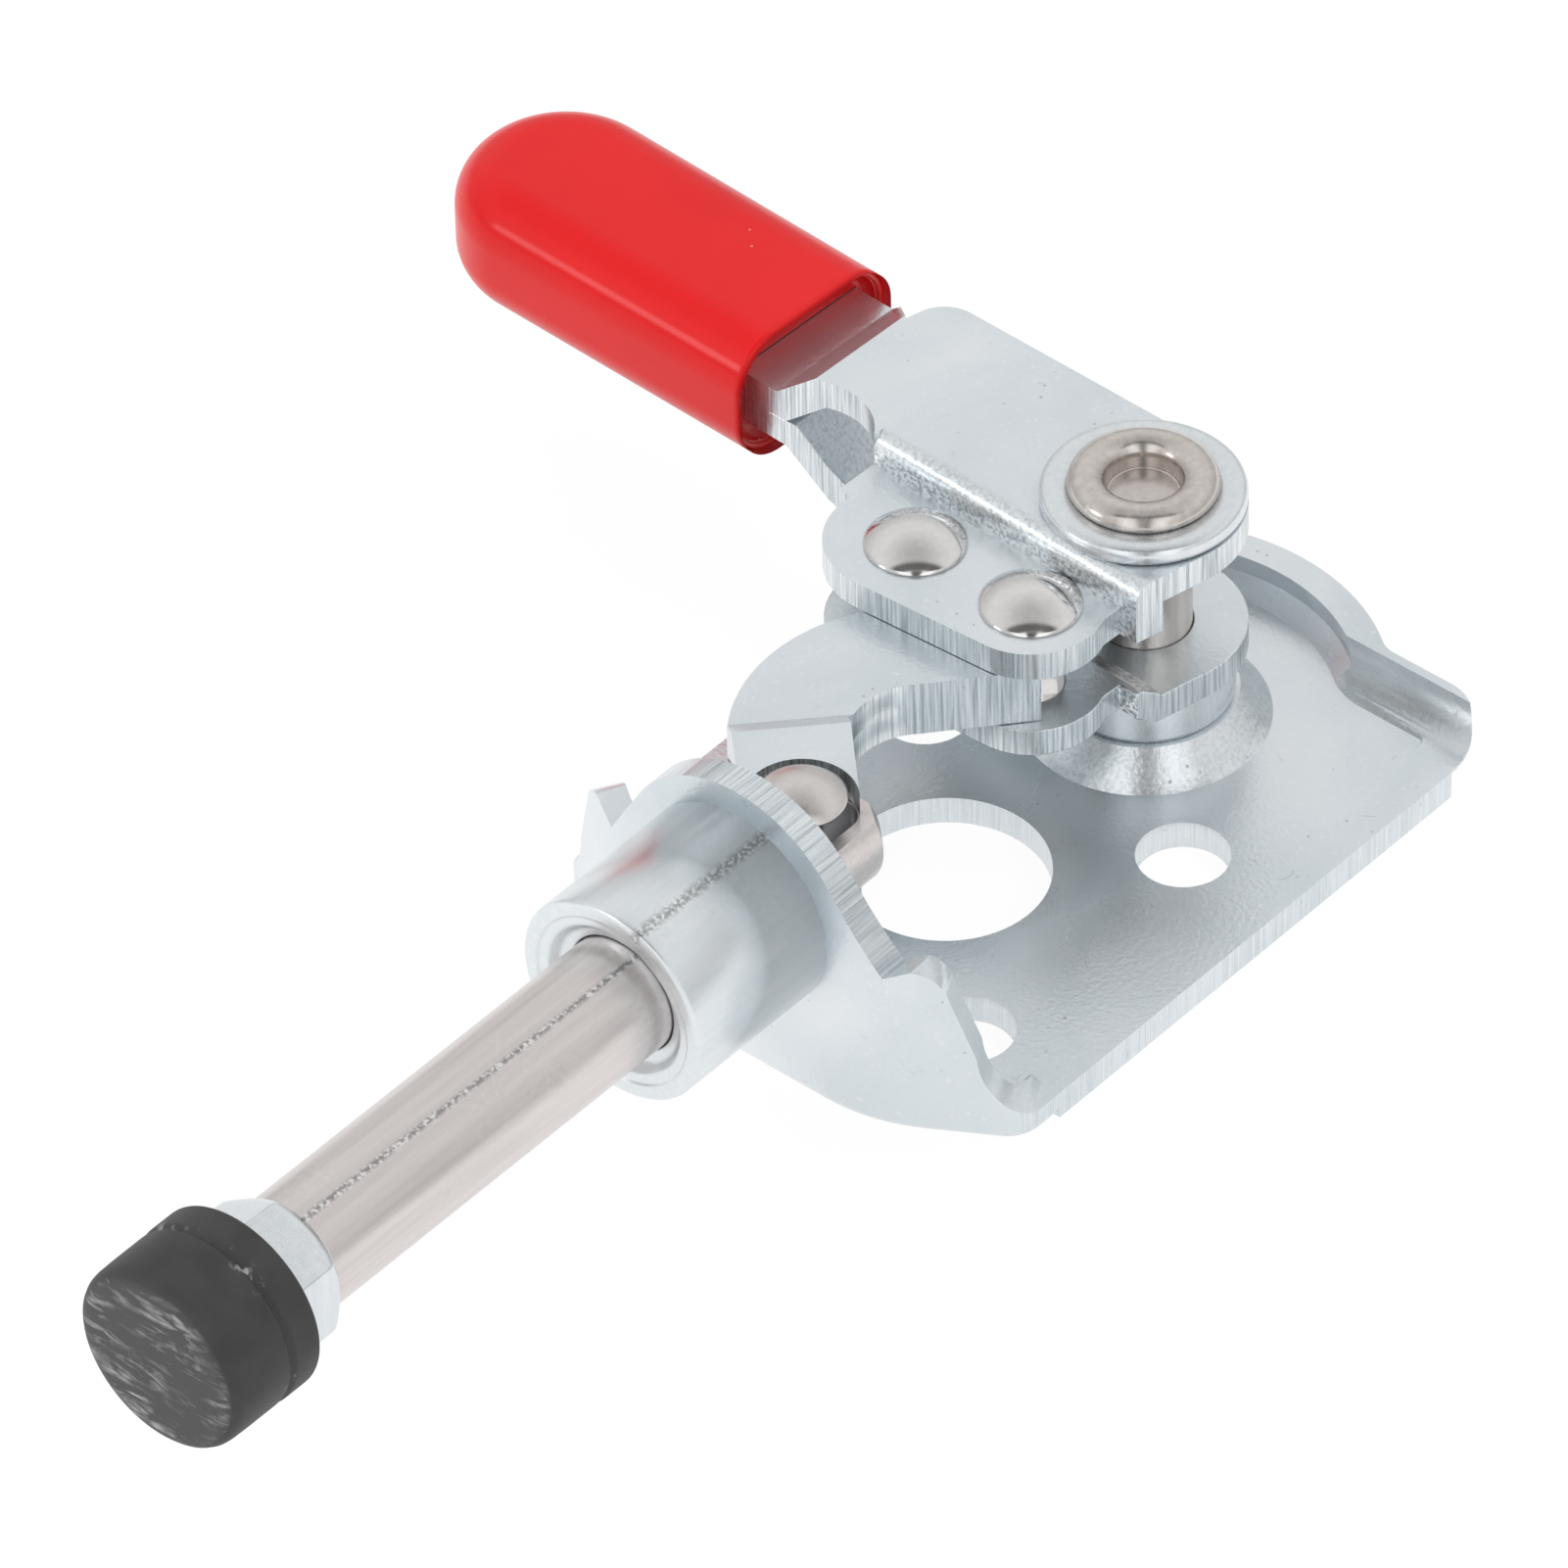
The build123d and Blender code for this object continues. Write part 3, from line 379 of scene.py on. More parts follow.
def turned_recipe(name, squeeze, tones, roughness, grain_depth, line=0.0):
    """Metal with grain squeezed along one axis: colour, gloss and relief all follow
    one noise, and line is how strongly a painted reflection, a specked dark stripe,
    lies at a fixed angle."""
    material, tree, out = new_material(name)
    place = node(tree, "TexCoord").outputs["Object"]
    normal = node(tree, "TexCoord").outputs["Normal"]
    drawn = node(tree, "Mapping", {}, {"Vector": place, "Scale": squeeze})
    lines = node(tree, "TexNoise", {}, {"Vector": drawn, "Scale": 1 / GRAIN, "Detail": 5.0})
    speck = node(tree, "TexNoise", {}, {"Vector": place, "Scale": 1 / GRIT, "Detail": 3.0})
    patch = node(tree, "TexNoise", {}, {"Vector": place, "Scale": 1 / GRAIN_PATCH, "Detail": 3.0})
    patch = node(tree, "ValToRGB", {}, {0: patch}, [(0.48, 0.0), (0.66, 1.0)])
    mixed = node(tree, "Mix", VALUES, {0: patch, 2: lines, 3: speck})
    tint = node(tree, "ValToRGB", {}, {0: mixed},
                [(0.32, tones[0]), (0.52, tones[1]), (0.70, tones[2])])

    # Painted reflection: a specked dark stripe painted on the skin where the normal turns to a
    # fixed angle.
    axes = node(tree, "SeparateXYZ", inputs={0: normal}).outputs
    angle = node(tree, "Math", {"operation": "ARCTAN2"}, {0: axes["Z"], 1: axes["Y"]})
    wave = node(tree, "TexNoise", {}, {"Vector": drawn, "Scale": 1 / WANDER, "Detail": 1.0})
    wander = node(tree, "Math", TIMES_AND_ADD, {0: wave, 1: 0.10, 2: angle})
    away = node(tree, "Math", LESS, {0: wander, 1: np.radians(PAINTED_REFLECTION_ANGLE) + 0.05})
    away = node(tree, "Math", SIZE, {0: away})
    painted_reflection = node(tree, "ValToRGB", {}, {0: away}, [(0.02, 1.0), (0.09, 0.0)])
    painted_reflection = node(tree, "Math", TIMES, {0: painted_reflection, 1: line})
    # The stripe's dark and light specks are painted reflection.
    specks_and_painted_light = node(tree, "TexNoise", {}, {"Vector": place, "Scale": 1 / FLECK, "Detail": 2.0})
    specks_and_painted_light = node(tree, "ValToRGB", {}, {0: specks_and_painted_light},
                  [(0.42, "#6a6969"), (0.52, "#b4b3b3"), (0.60, "#f4f4f4")])
    tint = node(tree, "Mix", COLOURS, {0: painted_reflection, 6: tint, 7: specks_and_painted_light})

    rough = node(tree, "Math", TIMES_AND_ADD, {0: mixed, 1: 0.19, 2: roughness - 0.10})
    bump = node(tree, "Bump", {}, {"Height": mixed, "Strength": grain_depth, "Distance": 0.02 * MM})
    shader = node(tree, "BsdfPrincipled", {}, {"Base Color": tint, "Metallic": 0.92,
                                               "Roughness": rough, "Normal": bump})
    tree.links.new(shader.outputs[0], out.inputs["Surface"])
    return material


ALONG_X = (0.04, 1, 1)
ALONG_Z = (1, 1, 0.05)
EVEN = (1, 1, 1)
# The sleeve and the rod carry the painted reflection; the last number is its strength.
zinc_sleeve = turned_recipe("zinc_plated_sleeve", ALONG_X,
                            ("#dfe5e8", "#e4e9ec", "#e9edef"), 0.33, 0.05, 0.6)
zinc_ring = turned_recipe("zinc_plated_ring", ALONG_Z,
                          ("#d9dfe3", "#e0e5e8", "#e8ebed"), 0.28, 0.06)
nickel_rod = turned_recipe("nickel_plated_rod", ALONG_X,
                           ("#d3ccca", "#dbd5d3", "#e3dddb"), 0.33, 0.14, 0.65)
nickel_stud = turned_recipe("nickel_plated_stud", ALONG_Z,
                            ("#c6bfba", "#cfc8c3", "#d8d2ce"), 0.25, 0.03)
nickel_rivet = turned_recipe("nickel_plated_rivet", ALONG_Z,
                             ("#d6d0cd", "#dad5d2", "#dfdad7"), 0.33, 0.05)
bright_rivet = turned_recipe("tumbled_bright_rivet", EVEN,
                             ("#d9d7d5", "#dddbd9", "#e1dfdd"), 0.11, 0.0)
print("six turned finishes")

# %% [markdown]
# ## Black rubber
#
# Moulded rubber is black but blooms grey where it is rubbed: chalky marks lie
# across the flat front, and crumbs hang along the parting line behind it.  A
# painted picture could hold the marks, but three stretched noises, each turned
# another way, give them without one.

# %% Rubber: chalky scuffs on the front
TIP_BACK = 50.60 * MM
BAND = 1.95 * MM
SCUFFS = ((0.4, 4.0, 1.4 * MM), (-0.8, 4.5, 1.3 * MM), (1.5, 3.5, 1.1 * MM))
SCUFF_SPOT = 1.7 * MM
BLOOM = 2.2 * MM

rubber, tree, out = new_material("moulded_black_rubber")
place = node(tree, "TexCoord").outputs["Object"]
normal = node(tree, "TexCoord").outputs["Normal"]
facing = node(tree, "SeparateXYZ", inputs={0: normal}).outputs["X"]
front = node(tree, "ValToRGB", {}, {0: facing}, [(0.80, 0.0), (0.97, 1.0)])
smear = 0.0
for turned, stretch, size in SCUFFS:
    way = node(tree, "Mapping", {}, {"Vector": place, "Rotation": (turned, 0, 0),
                                     "Scale": (1, 1, stretch)})
    marks = node(tree, "TexNoise", {}, {"Vector": way, "Scale": 1 / (size * 2), "Detail": 5.0,
                                        "Distortion": 0.9})
    shifted = node(tree, "Mapping", {}, {"Vector": place,
                                         "Location": (0, turned * 9 * MM, size * 4)})
    spots = node(tree, "TexNoise", {}, {"Vector": shifted, "Scale": 1 / SCUFF_SPOT, "Detail": 2.0})
    spots = node(tree, "ValToRGB", {}, {0: spots}, [(0.42, 0.86), (0.54, 1.0)])
    marks = node(tree, "Math", TIMES, {0: marks, 1: spots})
    smear = node(tree, "Math", MOST, {0: smear, 1: marks})
bloom = node(tree, "TexNoise", {}, {"Vector": place, "Scale": 1 / BLOOM, "Detail": 4.0})
chalk = node(tree, "ValToRGB", {}, {0: smear}, [(0.53, 0.0), (0.70, 1.0)])
patches = node(tree, "ValToRGB", {}, {0: bloom}, [(0.36, 0.15), (0.60, 1.0)])
chalk = node(tree, "Math", TIMES, {0: chalk, 1: patches})
chalk = node(tree, "Math", TIMES, {0: chalk, 1: front})
print("scuffs in", len(SCUFFS), "directions")

# %% Rubber: crumbs at the parting line, and the shader
CRUMB = 0.5 * MM
CRUMB_PATCH = 3.5 * MM
RUBBER_GRIT = 0.22 * MM

along = node(tree, "SeparateXYZ", inputs={0: place}).outputs["X"]
away = node(tree, "Math", LESS, {0: along, 1: TIP_BACK + BAND})
away = node(tree, "Math", SIZE, {0: away})
away = node(tree, "Math", TIMES, {0: away, 1: 1 / MM})
near = node(tree, "ValToRGB", {}, {0: away}, [(0.10, 1.0), (0.55, 0.0)])
crumbs = node(tree, "TexNoise", {}, {"Vector": place, "Scale": 1 / CRUMB, "Detail": 4.0})
crumbs = node(tree, "ValToRGB", {}, {0: crumbs}, [(0.56, 0.0), (0.66, 1.0)])
crumbs = node(tree, "Math", TIMES, {0: near, 1: crumbs})
clumps = node(tree, "TexNoise", {}, {"Vector": place, "Scale": 1 / CRUMB_PATCH, "Detail": 1.0})
clumps = node(tree, "ValToRGB", {}, {0: clumps}, [(0.46, 0.0), (0.60, 1.0)])
crumbs = node(tree, "Math", TIMES, {0: crumbs, 1: clumps})
marks = node(tree, "Math", MOST, {0: chalk, 1: crumbs})
tint = node(tree, "ValToRGB", {}, {0: bloom}, [(0.3, "#2f2f2f"), (0.7, "#393939")])
tint = node(tree, "Mix", COLOURS, {0: node(tree, "Math", TIMES, {0: front, 1: 0.8}),
                                   6: tint, 7: linear("#434343")})
tint = node(tree, "Mix", COLOURS, {0: marks, 6: tint, 7: linear("#9a9a9a")})
grit = node(tree, "TexNoise", {}, {"Vector": place, "Scale": 1 / RUBBER_GRIT, "Detail": 3.0})
bump = node(tree, "Bump", {}, {"Height": grit, "Strength": 0.30, "Distance": 0.03 * MM})
shader = node(tree, "BsdfPrincipled", {}, {"Base Color": tint, "Roughness": 0.58, "IOR": 1.45,
                                           "Normal": bump})
tree.links.new(shader.outputs[0], out.inputs["Surface"])
print("rubber has", len(tree.nodes), "nodes")

# %% [markdown]
# ## Dipped red vinyl
#
# Vinyl is dipped over a former, so it is soft, a little wavy and wet with
# gloss.  Some of its red comes from below the skin, and a thin clear coat gives
# the fine bright line along its edge.  A few specks of dust are caught in it.

# %% Dipped red vinyl
MOTTLE = 7 * MM
DUST = 2.6 * MM
WAVE = 5 * MM

vinyl, tree, out = new_material("dipped_red_vinyl")
place = node(tree, "TexCoord").outputs["Object"]
mottle = node(tree, "TexNoise", {}, {"Vector": place, "Scale": 1 / MOTTLE, "Detail": 3.0})
tint = node(tree, "ValToRGB", {}, {0: mottle}, [(0.3, "#cb0508"), (0.7, "#d2090d")])
dust = node(tree, "TexVoronoi", {}, {"Vector": place, "Scale": 1 / DUST})
dust = node(tree, "ValToRGB", {}, {0: dust}, [(0.015, 1.0), (0.035, 0.0)])
tint = node(tree, "Mix", COLOURS, {0: node(tree, "Math", TIMES, {0: dust, 1: 0.6}),
                                   6: tint, 7: linear("#f3a9a0")})
wave = node(tree, "TexNoise", {}, {"Vector": place, "Scale": 1 / WAVE, "Detail": 2.0})
relief = node(tree, "Math", TIMES_AND_ADD, {0: dust, 1: 0.2, 2: wave})
bump = node(tree, "Bump", {}, {"Height": relief, "Strength": 0.16, "Distance": 0.12 * MM})
shader = node(tree, "BsdfPrincipled", {}, {
    "Base Color": tint, "Roughness": 0.34, "IOR": 1.42, "Specular IOR Level": 0.25,
    "Subsurface Weight": 0.04, "Subsurface Radius": (0.0012, 0.0003, 0.0002),
    "Subsurface Scale": 1.0, "Coat Weight": 0.30, "Coat Roughness": 0.04, "Normal": bump})
tree.links.new(shader.outputs[0], out.inputs["Surface"])
print("glossy red vinyl")

# %% [markdown]
# ## Stampings with a real edge
#
# A press rounds one side of a stamping and leaves a fine burr on the other.
# The frame's solids have sharp edges, so each stamping is copied, its loose
# triangles are merged, flat areas become single faces, and every sharp edge
# gets a small bevel.  A Bevel modifier would do the same, but the attributes
# for the finish have to be worked out on the bevelled faces.


# %% Pieces and bevelled copies
def new_piece(name, mesh, material, node_name, body):
    """Puts a mesh in the scene, smooth all over, on the body it rides on, and hides the solid it
    stands for.
    """
    mesh.name = name
    mesh.materials.clear()
    mesh.materials.append(material)
    mesh.polygons.foreach_set("use_smooth", np.ones(len(mesh.polygons), bool))
    piece = bpy.data.objects.new(name, mesh)
    bpy.context.scene.collection.objects.link(piece)
    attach(piece, body)
    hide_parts(node_name)
    print(f"{name}: {len(mesh.polygons)} faces")
    return piece


MERGE = 1e-6
FLAT = np.radians(0.5)
SHARP = np.radians(28)


def bevelled(solid_name, width):
    """A merged copy of a solid's mesh, with every edge sharper than SHARP rounded by width."""
    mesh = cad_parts[solid_name].data.copy()
    shape = bmesh.new()
    shape.from_mesh(mesh)
    bmesh.ops.remove_doubles(shape, verts=shape.verts, dist=MERGE)
    bmesh.ops.dissolve_limit(shape, angle_limit=FLAT, verts=shape.verts, edges=shape.edges)
    bmesh.ops.recalc_face_normals(shape, faces=shape.faces)
    edges = [e for e in shape.edges if e.is_manifold and e.calc_face_angle(0) > SHARP]
    bmesh.ops.bevel(shape, geom=edges, offset=width, segments=2, profile=0.5, affect="EDGES",
                    offset_type="OFFSET", clamp_overlap=True)
    bmesh.ops.recalc_face_normals(shape, faces=shape.faces)
    shape.to_mesh(mesh)
    shape.free()
    return mesh


def soften(piece):
    """Weighted normals keep the flat areas flat beside their small bevels."""
    shade = piece.modifiers.new("shade", "WEIGHTED_NORMAL")
    shade.keep_sharp = True
    shade.weight = 60


print("edges over", round(np.degrees(SHARP)), "degrees get a bevel")

# %% [markdown]
# ### Telling the finish where it is
#
# The zinc needs to know which faces were cut and which were worked.  Vertex
# paint by hand would be lost at the next change of size, so the marks are
# computed from the place and the direction of each face.


# %% Marks on the faces
def faces_of(mesh):
    """Centres and normals of all faces, in metres, one row each."""
    flat = np.empty(3 * len(mesh.polygons))
    mesh.polygons.foreach_get("center", flat)
    centres = flat.reshape(-1, 3).copy()
    mesh.polygons.foreach_get("normal", flat)
    return centres, flat.reshape(-1, 3)


SQUEEZE = 0.97


def mark(mesh, cut, worked, thickness):
    """Stores cut and worked on faces, and grain on corners: the place, less nearly all of
    its part along the thickness."""
    for name, values in (("cut", cut), ("worked", worked)):
        store = mesh.attributes.new(name, "FLOAT", "FACE")
        store.data.foreach_set("value", np.asarray(values, float))
    corner_vertex = np.empty(len(mesh.loops), int)
    mesh.loops.foreach_get("vertex_index", corner_vertex)
    sizes = np.empty(len(mesh.polygons), int)
    mesh.polygons.foreach_get("loop_total", sizes)
    places = np.empty(3 * len(mesh.vertices))
    mesh.vertices.foreach_get("co", places)
    place = places.reshape(-1, 3)[corner_vertex]
    across = np.repeat(np.asarray(thickness, float), sizes, axis=0)
    grain = place - SQUEEZE * np.sum(place * across, axis=1, keepdims=True) * across
    store = mesh.attributes.new("grain", "FLOAT_VECTOR", "CORNER")
    store.data.foreach_set("vector", grain.ravel())


UP_AXIS = np.array([0.0, 0.0, 1.0])
print("the thickness is squeezed to", round(1 - SQUEEZE, 2))

# %% [markdown]
# ### The base
#
# The base is one sheet: a plate, a flange bent up in front and swept back into
# two wings, a rolled lip behind and a boss round the stud.  Only the arch over
# the sleeve shows strong shear streaks, so the rest of the rim is marked
# faintly.  On the swept wings the thickness leans with them.

# %% The base stamping
SHEET = 1.6 * MM
FLANGE_FRONT = 15.25 * MM
BEND_DEPTH = 5 * MM
WING_START = 7.9 * MM
ARCH_HALF = 8.4 * MM
SWEEP = np.radians(31)
HALF_WIDTH = 14.475 * MM
HOLES_WITHIN = 14 * MM
BOSS_R = 6.6 * MM
PIVOT_X = -15.05 * MM
AXIS_Z = 10.15 * MM

mesh = bevelled("base_plate", 0.15 * MM)
centre, normal = faces_of(mesh)
lean = np.where(np.abs(centre[:, 1]) > WING_START, SWEEP, 0.0)
outward = np.stack([np.cos(lean), np.sign(centre[:, 1]) * np.sin(lean), 0 * lean], axis=1)
on_flange = (centre[:, 0] > FLANGE_FRONT - BEND_DEPTH) & (centre[:, 2] > SHEET)
edgewise = np.abs(np.sum(normal * outward, axis=1)) < 0.5
arch_rim = on_flange & (np.abs(centre[:, 1]) < ARCH_HALF) & edgewise
at_side = np.abs(centre[:, 1]) > HALF_WIDTH - 0.3 * MM
at_holes = np.hypot(centre[:, 0], centre[:, 1]) < HOLES_WITHIN
upright = (np.abs(normal[:, 2]) < 0.6) & (centre[:, 2] < SHEET + 0.01 * MM)
plate_cut = upright & (at_side | at_holes)
from_pivot = np.hypot(centre[:, 0] - PIVOT_X, centre[:, 1])
boss = (from_pivot < BOSS_R) & (np.abs(normal[:, 2]) < 0.95) & (centre[:, 2] > SHEET)
thickness = np.where(on_flange[:, None], outward, UP_AXIS)
mark(mesh, 0.7 * arch_rim + 0.25 * plate_cut, 0.14 * boss, thickness)
soften(new_piece("base_stamping", mesh, zinc_plate, "base_plate", "base"))

# %% [markdown]
# ### Leaves and links
#
# The lever is two leaves and the link is two hooked plates.  All four are
# sheared all round, and the upper leaf steps down beside the rivets in a
# joggle.  The joggle's wall is stretched, and its flecks grow stronger towards the foot.

# %% Leaves and links
LEVER_TURN = np.radians(2.4)
LEVER_X = np.array([np.cos(LEVER_TURN), -np.sin(LEVER_TURN), 0.0])
LEVER_Y = np.array([np.sin(LEVER_TURN), np.cos(LEVER_TURN), 0.0])
PIVOT = np.array([PIVOT_X, 0.0, 0.0])
JOGGLE_FROM = 2.6 * MM
JOGGLE_TO = 5.3 * MM
JOGGLE_END = -13.0 * MM

for name, solid_name, body, joggled in (
        ("upper_leaf", "handle_upper_leaf", "handle", True),
        ("lower_leaf", "handle_lower_leaf", "handle", True),
        ("upper_link", "link_upper", "link", False),
        ("lower_link", "link_lower", "link", False)):
    mesh = bevelled(solid_name, 0.14 * MM)
    centre, normal = faces_of(mesh)
    steep = np.abs(normal[:, 2])
    across = (centre - PIVOT) @ LEVER_X
    along = (centre - PIVOT) @ LEVER_Y
    wall = joggled & (along > JOGGLE_END) & (across > JOGGLE_FROM) & (across < JOGGLE_TO)
    wall = wall & (np.abs(normal @ LEVER_X) > 0.25)
    slope = (steep > 0.6) & (steep < 0.97) & ~wall
    lowest, highest = centre[:, 2].min(), centre[:, 2].max()
    # The wall's flecks grow from 0.15 at its top to full strength at its foot.
    depth = (highest - centre[:, 2]) / (highest - lowest)
    mark(mesh, 0.9 * ((steep < 0.5) & ~wall), (0.15 + 0.85 * depth) * wall + 0.2 * slope,
         np.tile(UP_AXIS, (len(centre), 1)))
    soften(new_piece(name, mesh, zinc_plate, solid_name, body))

# %% [markdown]
# ### The rod and the bush
#
# Both are turned, but the rod's tongue is cut away for the links, so the two
# keep their solids' shapes and only get a bevel.

# %% The rod and the bush
for name, solid_name, body, slot, material in (
        ("rod", "plunger", "plunger", "nickel", nickel_rod),
        ("bush", "stop_bush", "handle", "zinc", zinc_ring)):
    soften(new_piece(name, bevelled(solid_name, 0.12 * MM), material, solid_name, body))

# %% [markdown]
# ## Surfaces from formulas
#
# The turned pieces, the nut, the screw's thread and the grip are worked out as
# grids of points.  One function makes a mesh of a grid: its rows are rings or
# stations, and its columns run round the piece.  Points that fall together at
# a tip or a centre are merged before the normals are made to face outward.

# %% Grids of points
RING = 144
MERGE_GRID = 2e-6


def grid_mesh(name, points):
    """Quads over a grid of points (rows, columns, 3): each point joins the next in its
    ring, which closes, and the next ring."""
    rows, columns = points.shape[:2]
    mesh = bpy.data.meshes.new(name)
    low, at = np.meshgrid(np.arange(rows - 1), np.arange(columns), indexing="ij")
    after = (at + 1) % columns
    quads = np.stack([low * columns + at, low * columns + after,
                      (low + 1) * columns + after, (low + 1) * columns + at], axis=-1)
    mesh.from_pydata(points.reshape(-1, 3).tolist(), [], quads.reshape(-1, 4).tolist())
    shape = bmesh.new()
    shape.from_mesh(mesh)
    bmesh.ops.remove_doubles(shape, verts=shape.verts, dist=MERGE_GRID)
    bmesh.ops.recalc_face_normals(shape, faces=shape.faces)
    shape.to_mesh(mesh)
    shape.free()
    return mesh


def box_of(solid_name):
    """Lowest and highest corner of a solid's box, in metres."""
    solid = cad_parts[solid_name]
    corners = np.empty(3 * len(solid.data.vertices))
    solid.data.vertices.foreach_get("co", corners)
    corners = corners.reshape(-1, 3)
    return corners.min(axis=0), corners.max(axis=0)


print("a ring has", RING, "points")

# %% [markdown]
# ### Turning on a lathe
#
# A lathe piece needs only its outline on one side, as points (along, out).  The
# corners of a real turned piece are eased by the tool, so each corner carries
# the length that a small curve takes off it.


# %% Lathe outlines
def round_corner(corner, start, end, steps=6):
    """Points of a quadratic curve: (1-t) squared of start, 2t(1-t) of corner, t squared of end."""
    t = np.linspace(0, 1, steps)[:, None]
    return (1 - t) ** 2 * start + 2 * t * (1 - t) * corner + t ** 2 * end


def lathe_profile(stations):
    """Joins (along, out, ease) stations in mm: each corner is cut back by ease and rounded."""
    stations = np.array(stations, float)
    points = [stations[:1, :2]]
    for before, here, after in zip(stations[:-2], stations[1:-1], stations[2:]):
        corner, ease = here[:2], here[2]
        if ease <= 0:
            points.append(corner[None])
            continue
        back = before[:2] - corner
        ahead = after[:2] - corner
        start = corner + back * min(0.48, ease / np.hypot(*back))
        end = corner + ahead * min(0.48, ease / np.hypot(*ahead))
        points.append(round_corner(corner, start, end))
    points.append(stations[-1:, :2])
    return np.concatenate(points) * MM


def lathe(name, profile, start, axis):
    """A turned surface: start plus along times the axis, plus out times a unit circle round it."""
    axis = np.array(axis, float)
    side = np.array([0.0, 1.0, 0.0])
    other = np.cross(axis, side)
    angle = np.arange(RING) / RING * TAU
    rim = np.cos(angle)[:, None] * side + np.sin(angle)[:, None] * other
    points = np.array(start) + profile[:, 0, None, None] * axis + profile[:, 1, None, None] * rim
    return grid_mesh(name, points)


X_AXIS = (1.0, 0.0, 0.0)
Z_AXIS = (0.0, 0.0, 1.0)
print("ready to turn")

# %% [markdown]
# ### Guide sleeve
#
# The sleeve is pressed into the flange.  Its mouth has a raised ring and a
# small step, which would be lost in a plain tube.

# %% Guide sleeve
SLEEVE = [(-1.6, 3.2, 0), (-1.6, 4.75, 0.1), (0, 4.75, 0), (0, 5.55, 0), (8.72, 5.55, 0),
          (9.2, 5.55, 0.55), (9.2, 4.75, 0.12), (9.06, 4.62, 0.08), (9.06, 4.15, 0.15),
          (8.5, 3.75, 0.2), (8.4, 3.2, 0.1), (-1.6, 3.2, 0)]
mesh = lathe("guide_sleeve", lathe_profile(SLEEVE), (FLANGE_FRONT, 0, AXIS_Z), X_AXIS)
new_piece("guide_sleeve", mesh, zinc_sleeve, "plunger_sleeve", "base")

# %% [markdown]
# ### Washer, spacer and stud
#
# The lever turns between a spacer and a washer on a hollow stud, whose end is
# rolled outward over the washer.  The rolled head is half of a flattened ring,
# so its outline there is half an ellipse.

# %% Washer, spacer and pivot stud
WASHER = [(15.30, 2.375, 0), (15.30, 5.09, 0.3), (16.25, 5.09, 0.5), (16.25, 2.375, 0),
          (15.30, 2.375, 0)]
SPACER = [(3.32, 2.375, 0), (3.32, 4.49, 0.3), (6.0, 4.49, 0.25), (6.0, 2.375, 0), (3.32, 2.375, 0)]
ROLLED = [(16.33 + 0.84 * np.sin(t), 2.80 + 0.96 * np.cos(t), 0) for t in np.linspace(0, np.pi, 17)]
STUD = [(0.25, 0, 0), (0.25, 3.5, 0.4), (1.72, 3.5, 0), (1.72, 2.375, 0), (16.25, 2.375, 0),
        (16.25, 3.70, 0), *ROLLED, (15.67, 1.84, 0.12), (15.67, 0, 0)]
for name, solid_name, profile, material, slot in (
        ("washer", "pivot_washer", WASHER, zinc_ring, "zinc"),
        ("spacer", "pivot_spacer", SPACER, zinc_ring, "zinc"),
        ("stud", "pivot_stud", STUD, nickel_stud, "nickel")):
    mesh = lathe(name, lathe_profile(profile), (PIVOT_X, 0, 0), Z_AXIS)
    new_piece(name, mesh, material, solid_name, "base")

# %% [markdown]
# ### Rivets
#
# Each rivet has a dome at both ends.  A squashed sphere would be quick, but a
# formed head is part of a true sphere on a short upright rim, and its
# reflections show the difference.


# %% Rivets
def dome_profile(crown, half_grip, head, shank, rim=0.12, steps=20):
    """Half a rivet's outline: a cap of the sphere whose radius is (head squared + rise
    squared) / (2 rise), on an upright rim, then the shank."""
    rise = crown - half_grip - rim
    ball = (head ** 2 + rise ** 2) / (2 * rise)
    angle = np.linspace(0, np.arcsin(head / ball), steps)
    cap = np.stack([crown - ball + ball * np.cos(angle), ball * np.sin(angle)], axis=1)
    foot = [(half_grip + 0.06, head), (half_grip, head - 0.06), (half_grip, shank)]
    return np.concatenate([cap, foot])


for name, solid_name, body, material, slot, half_grip, shank in (
        ("lever_link_rivet", "link_rivet", "handle", bright_rivet, "bright", 3.25, 1.6),
        ("lever_stop_rivet", "stop_rivet", "handle", bright_rivet, "bright", 3.25, 1.6),
        ("rod_rivet", "plunger_rivet", "link", nickel_rivet, "nickel", 3.35, 1.0)):
    low, high = box_of(solid_name)
    centre = (low + high) / 2
    half = dome_profile((high[2] - centre[2]) / MM, half_grip, (high[0] - centre[0]) / MM, shank)
    profile = np.concatenate([half, (half * (-1, 1))[::-1]]) * MM
    new_piece(name, lathe(name, profile, centre, Z_AXIS), material, solid_name, body)

# %% [markdown]
# ### Rubber tip
#
# The cap is moulded round the screw's head.  A shallow groove marks its
# parting line, and its front edge is well rounded.

# %% Rubber tip
TIP = [(0, 2.0, 0), (0, 5.0, 0.25), (1.70, 5.0, 0.1), (1.95, 4.80, 0.1), (2.2, 4.97, 0.1),
       (4.2, 4.97, 0), (6.0, 4.93, 0.95), (6.0, 0, 0), (3.8, 0, 0), (3.8, 3.2, 0), (2.4, 3.2, 0),
       (2.4, 2.0, 0), (0, 2.0, 0)]
mesh = lathe("tip_cap", lathe_profile(TIP), (TIP_BACK, 0, AXIS_Z), X_AXIS)
new_piece("tip_cap", mesh, rubber, "rubber_tip", "tip")

# %% [markdown]
# ### Tip screw
#
# The screw shows when the tip is wound out.  A picture of a thread would do
# from far, but the ridges show against the light, so the radius itself follows
# the thread: it depends on how far along a point is, less its turn.

# %% Tip screw with its thread
PITCH = 0.7 * MM
CREST = 2.0 * MM
DEPTH = 0.43 * MM
RUN_IN = 0.8 * MM
HEAD_T = 1.4 * MM
HEAD_R = 3.2 * MM
THREAD_RING = 48
STEPS = 8

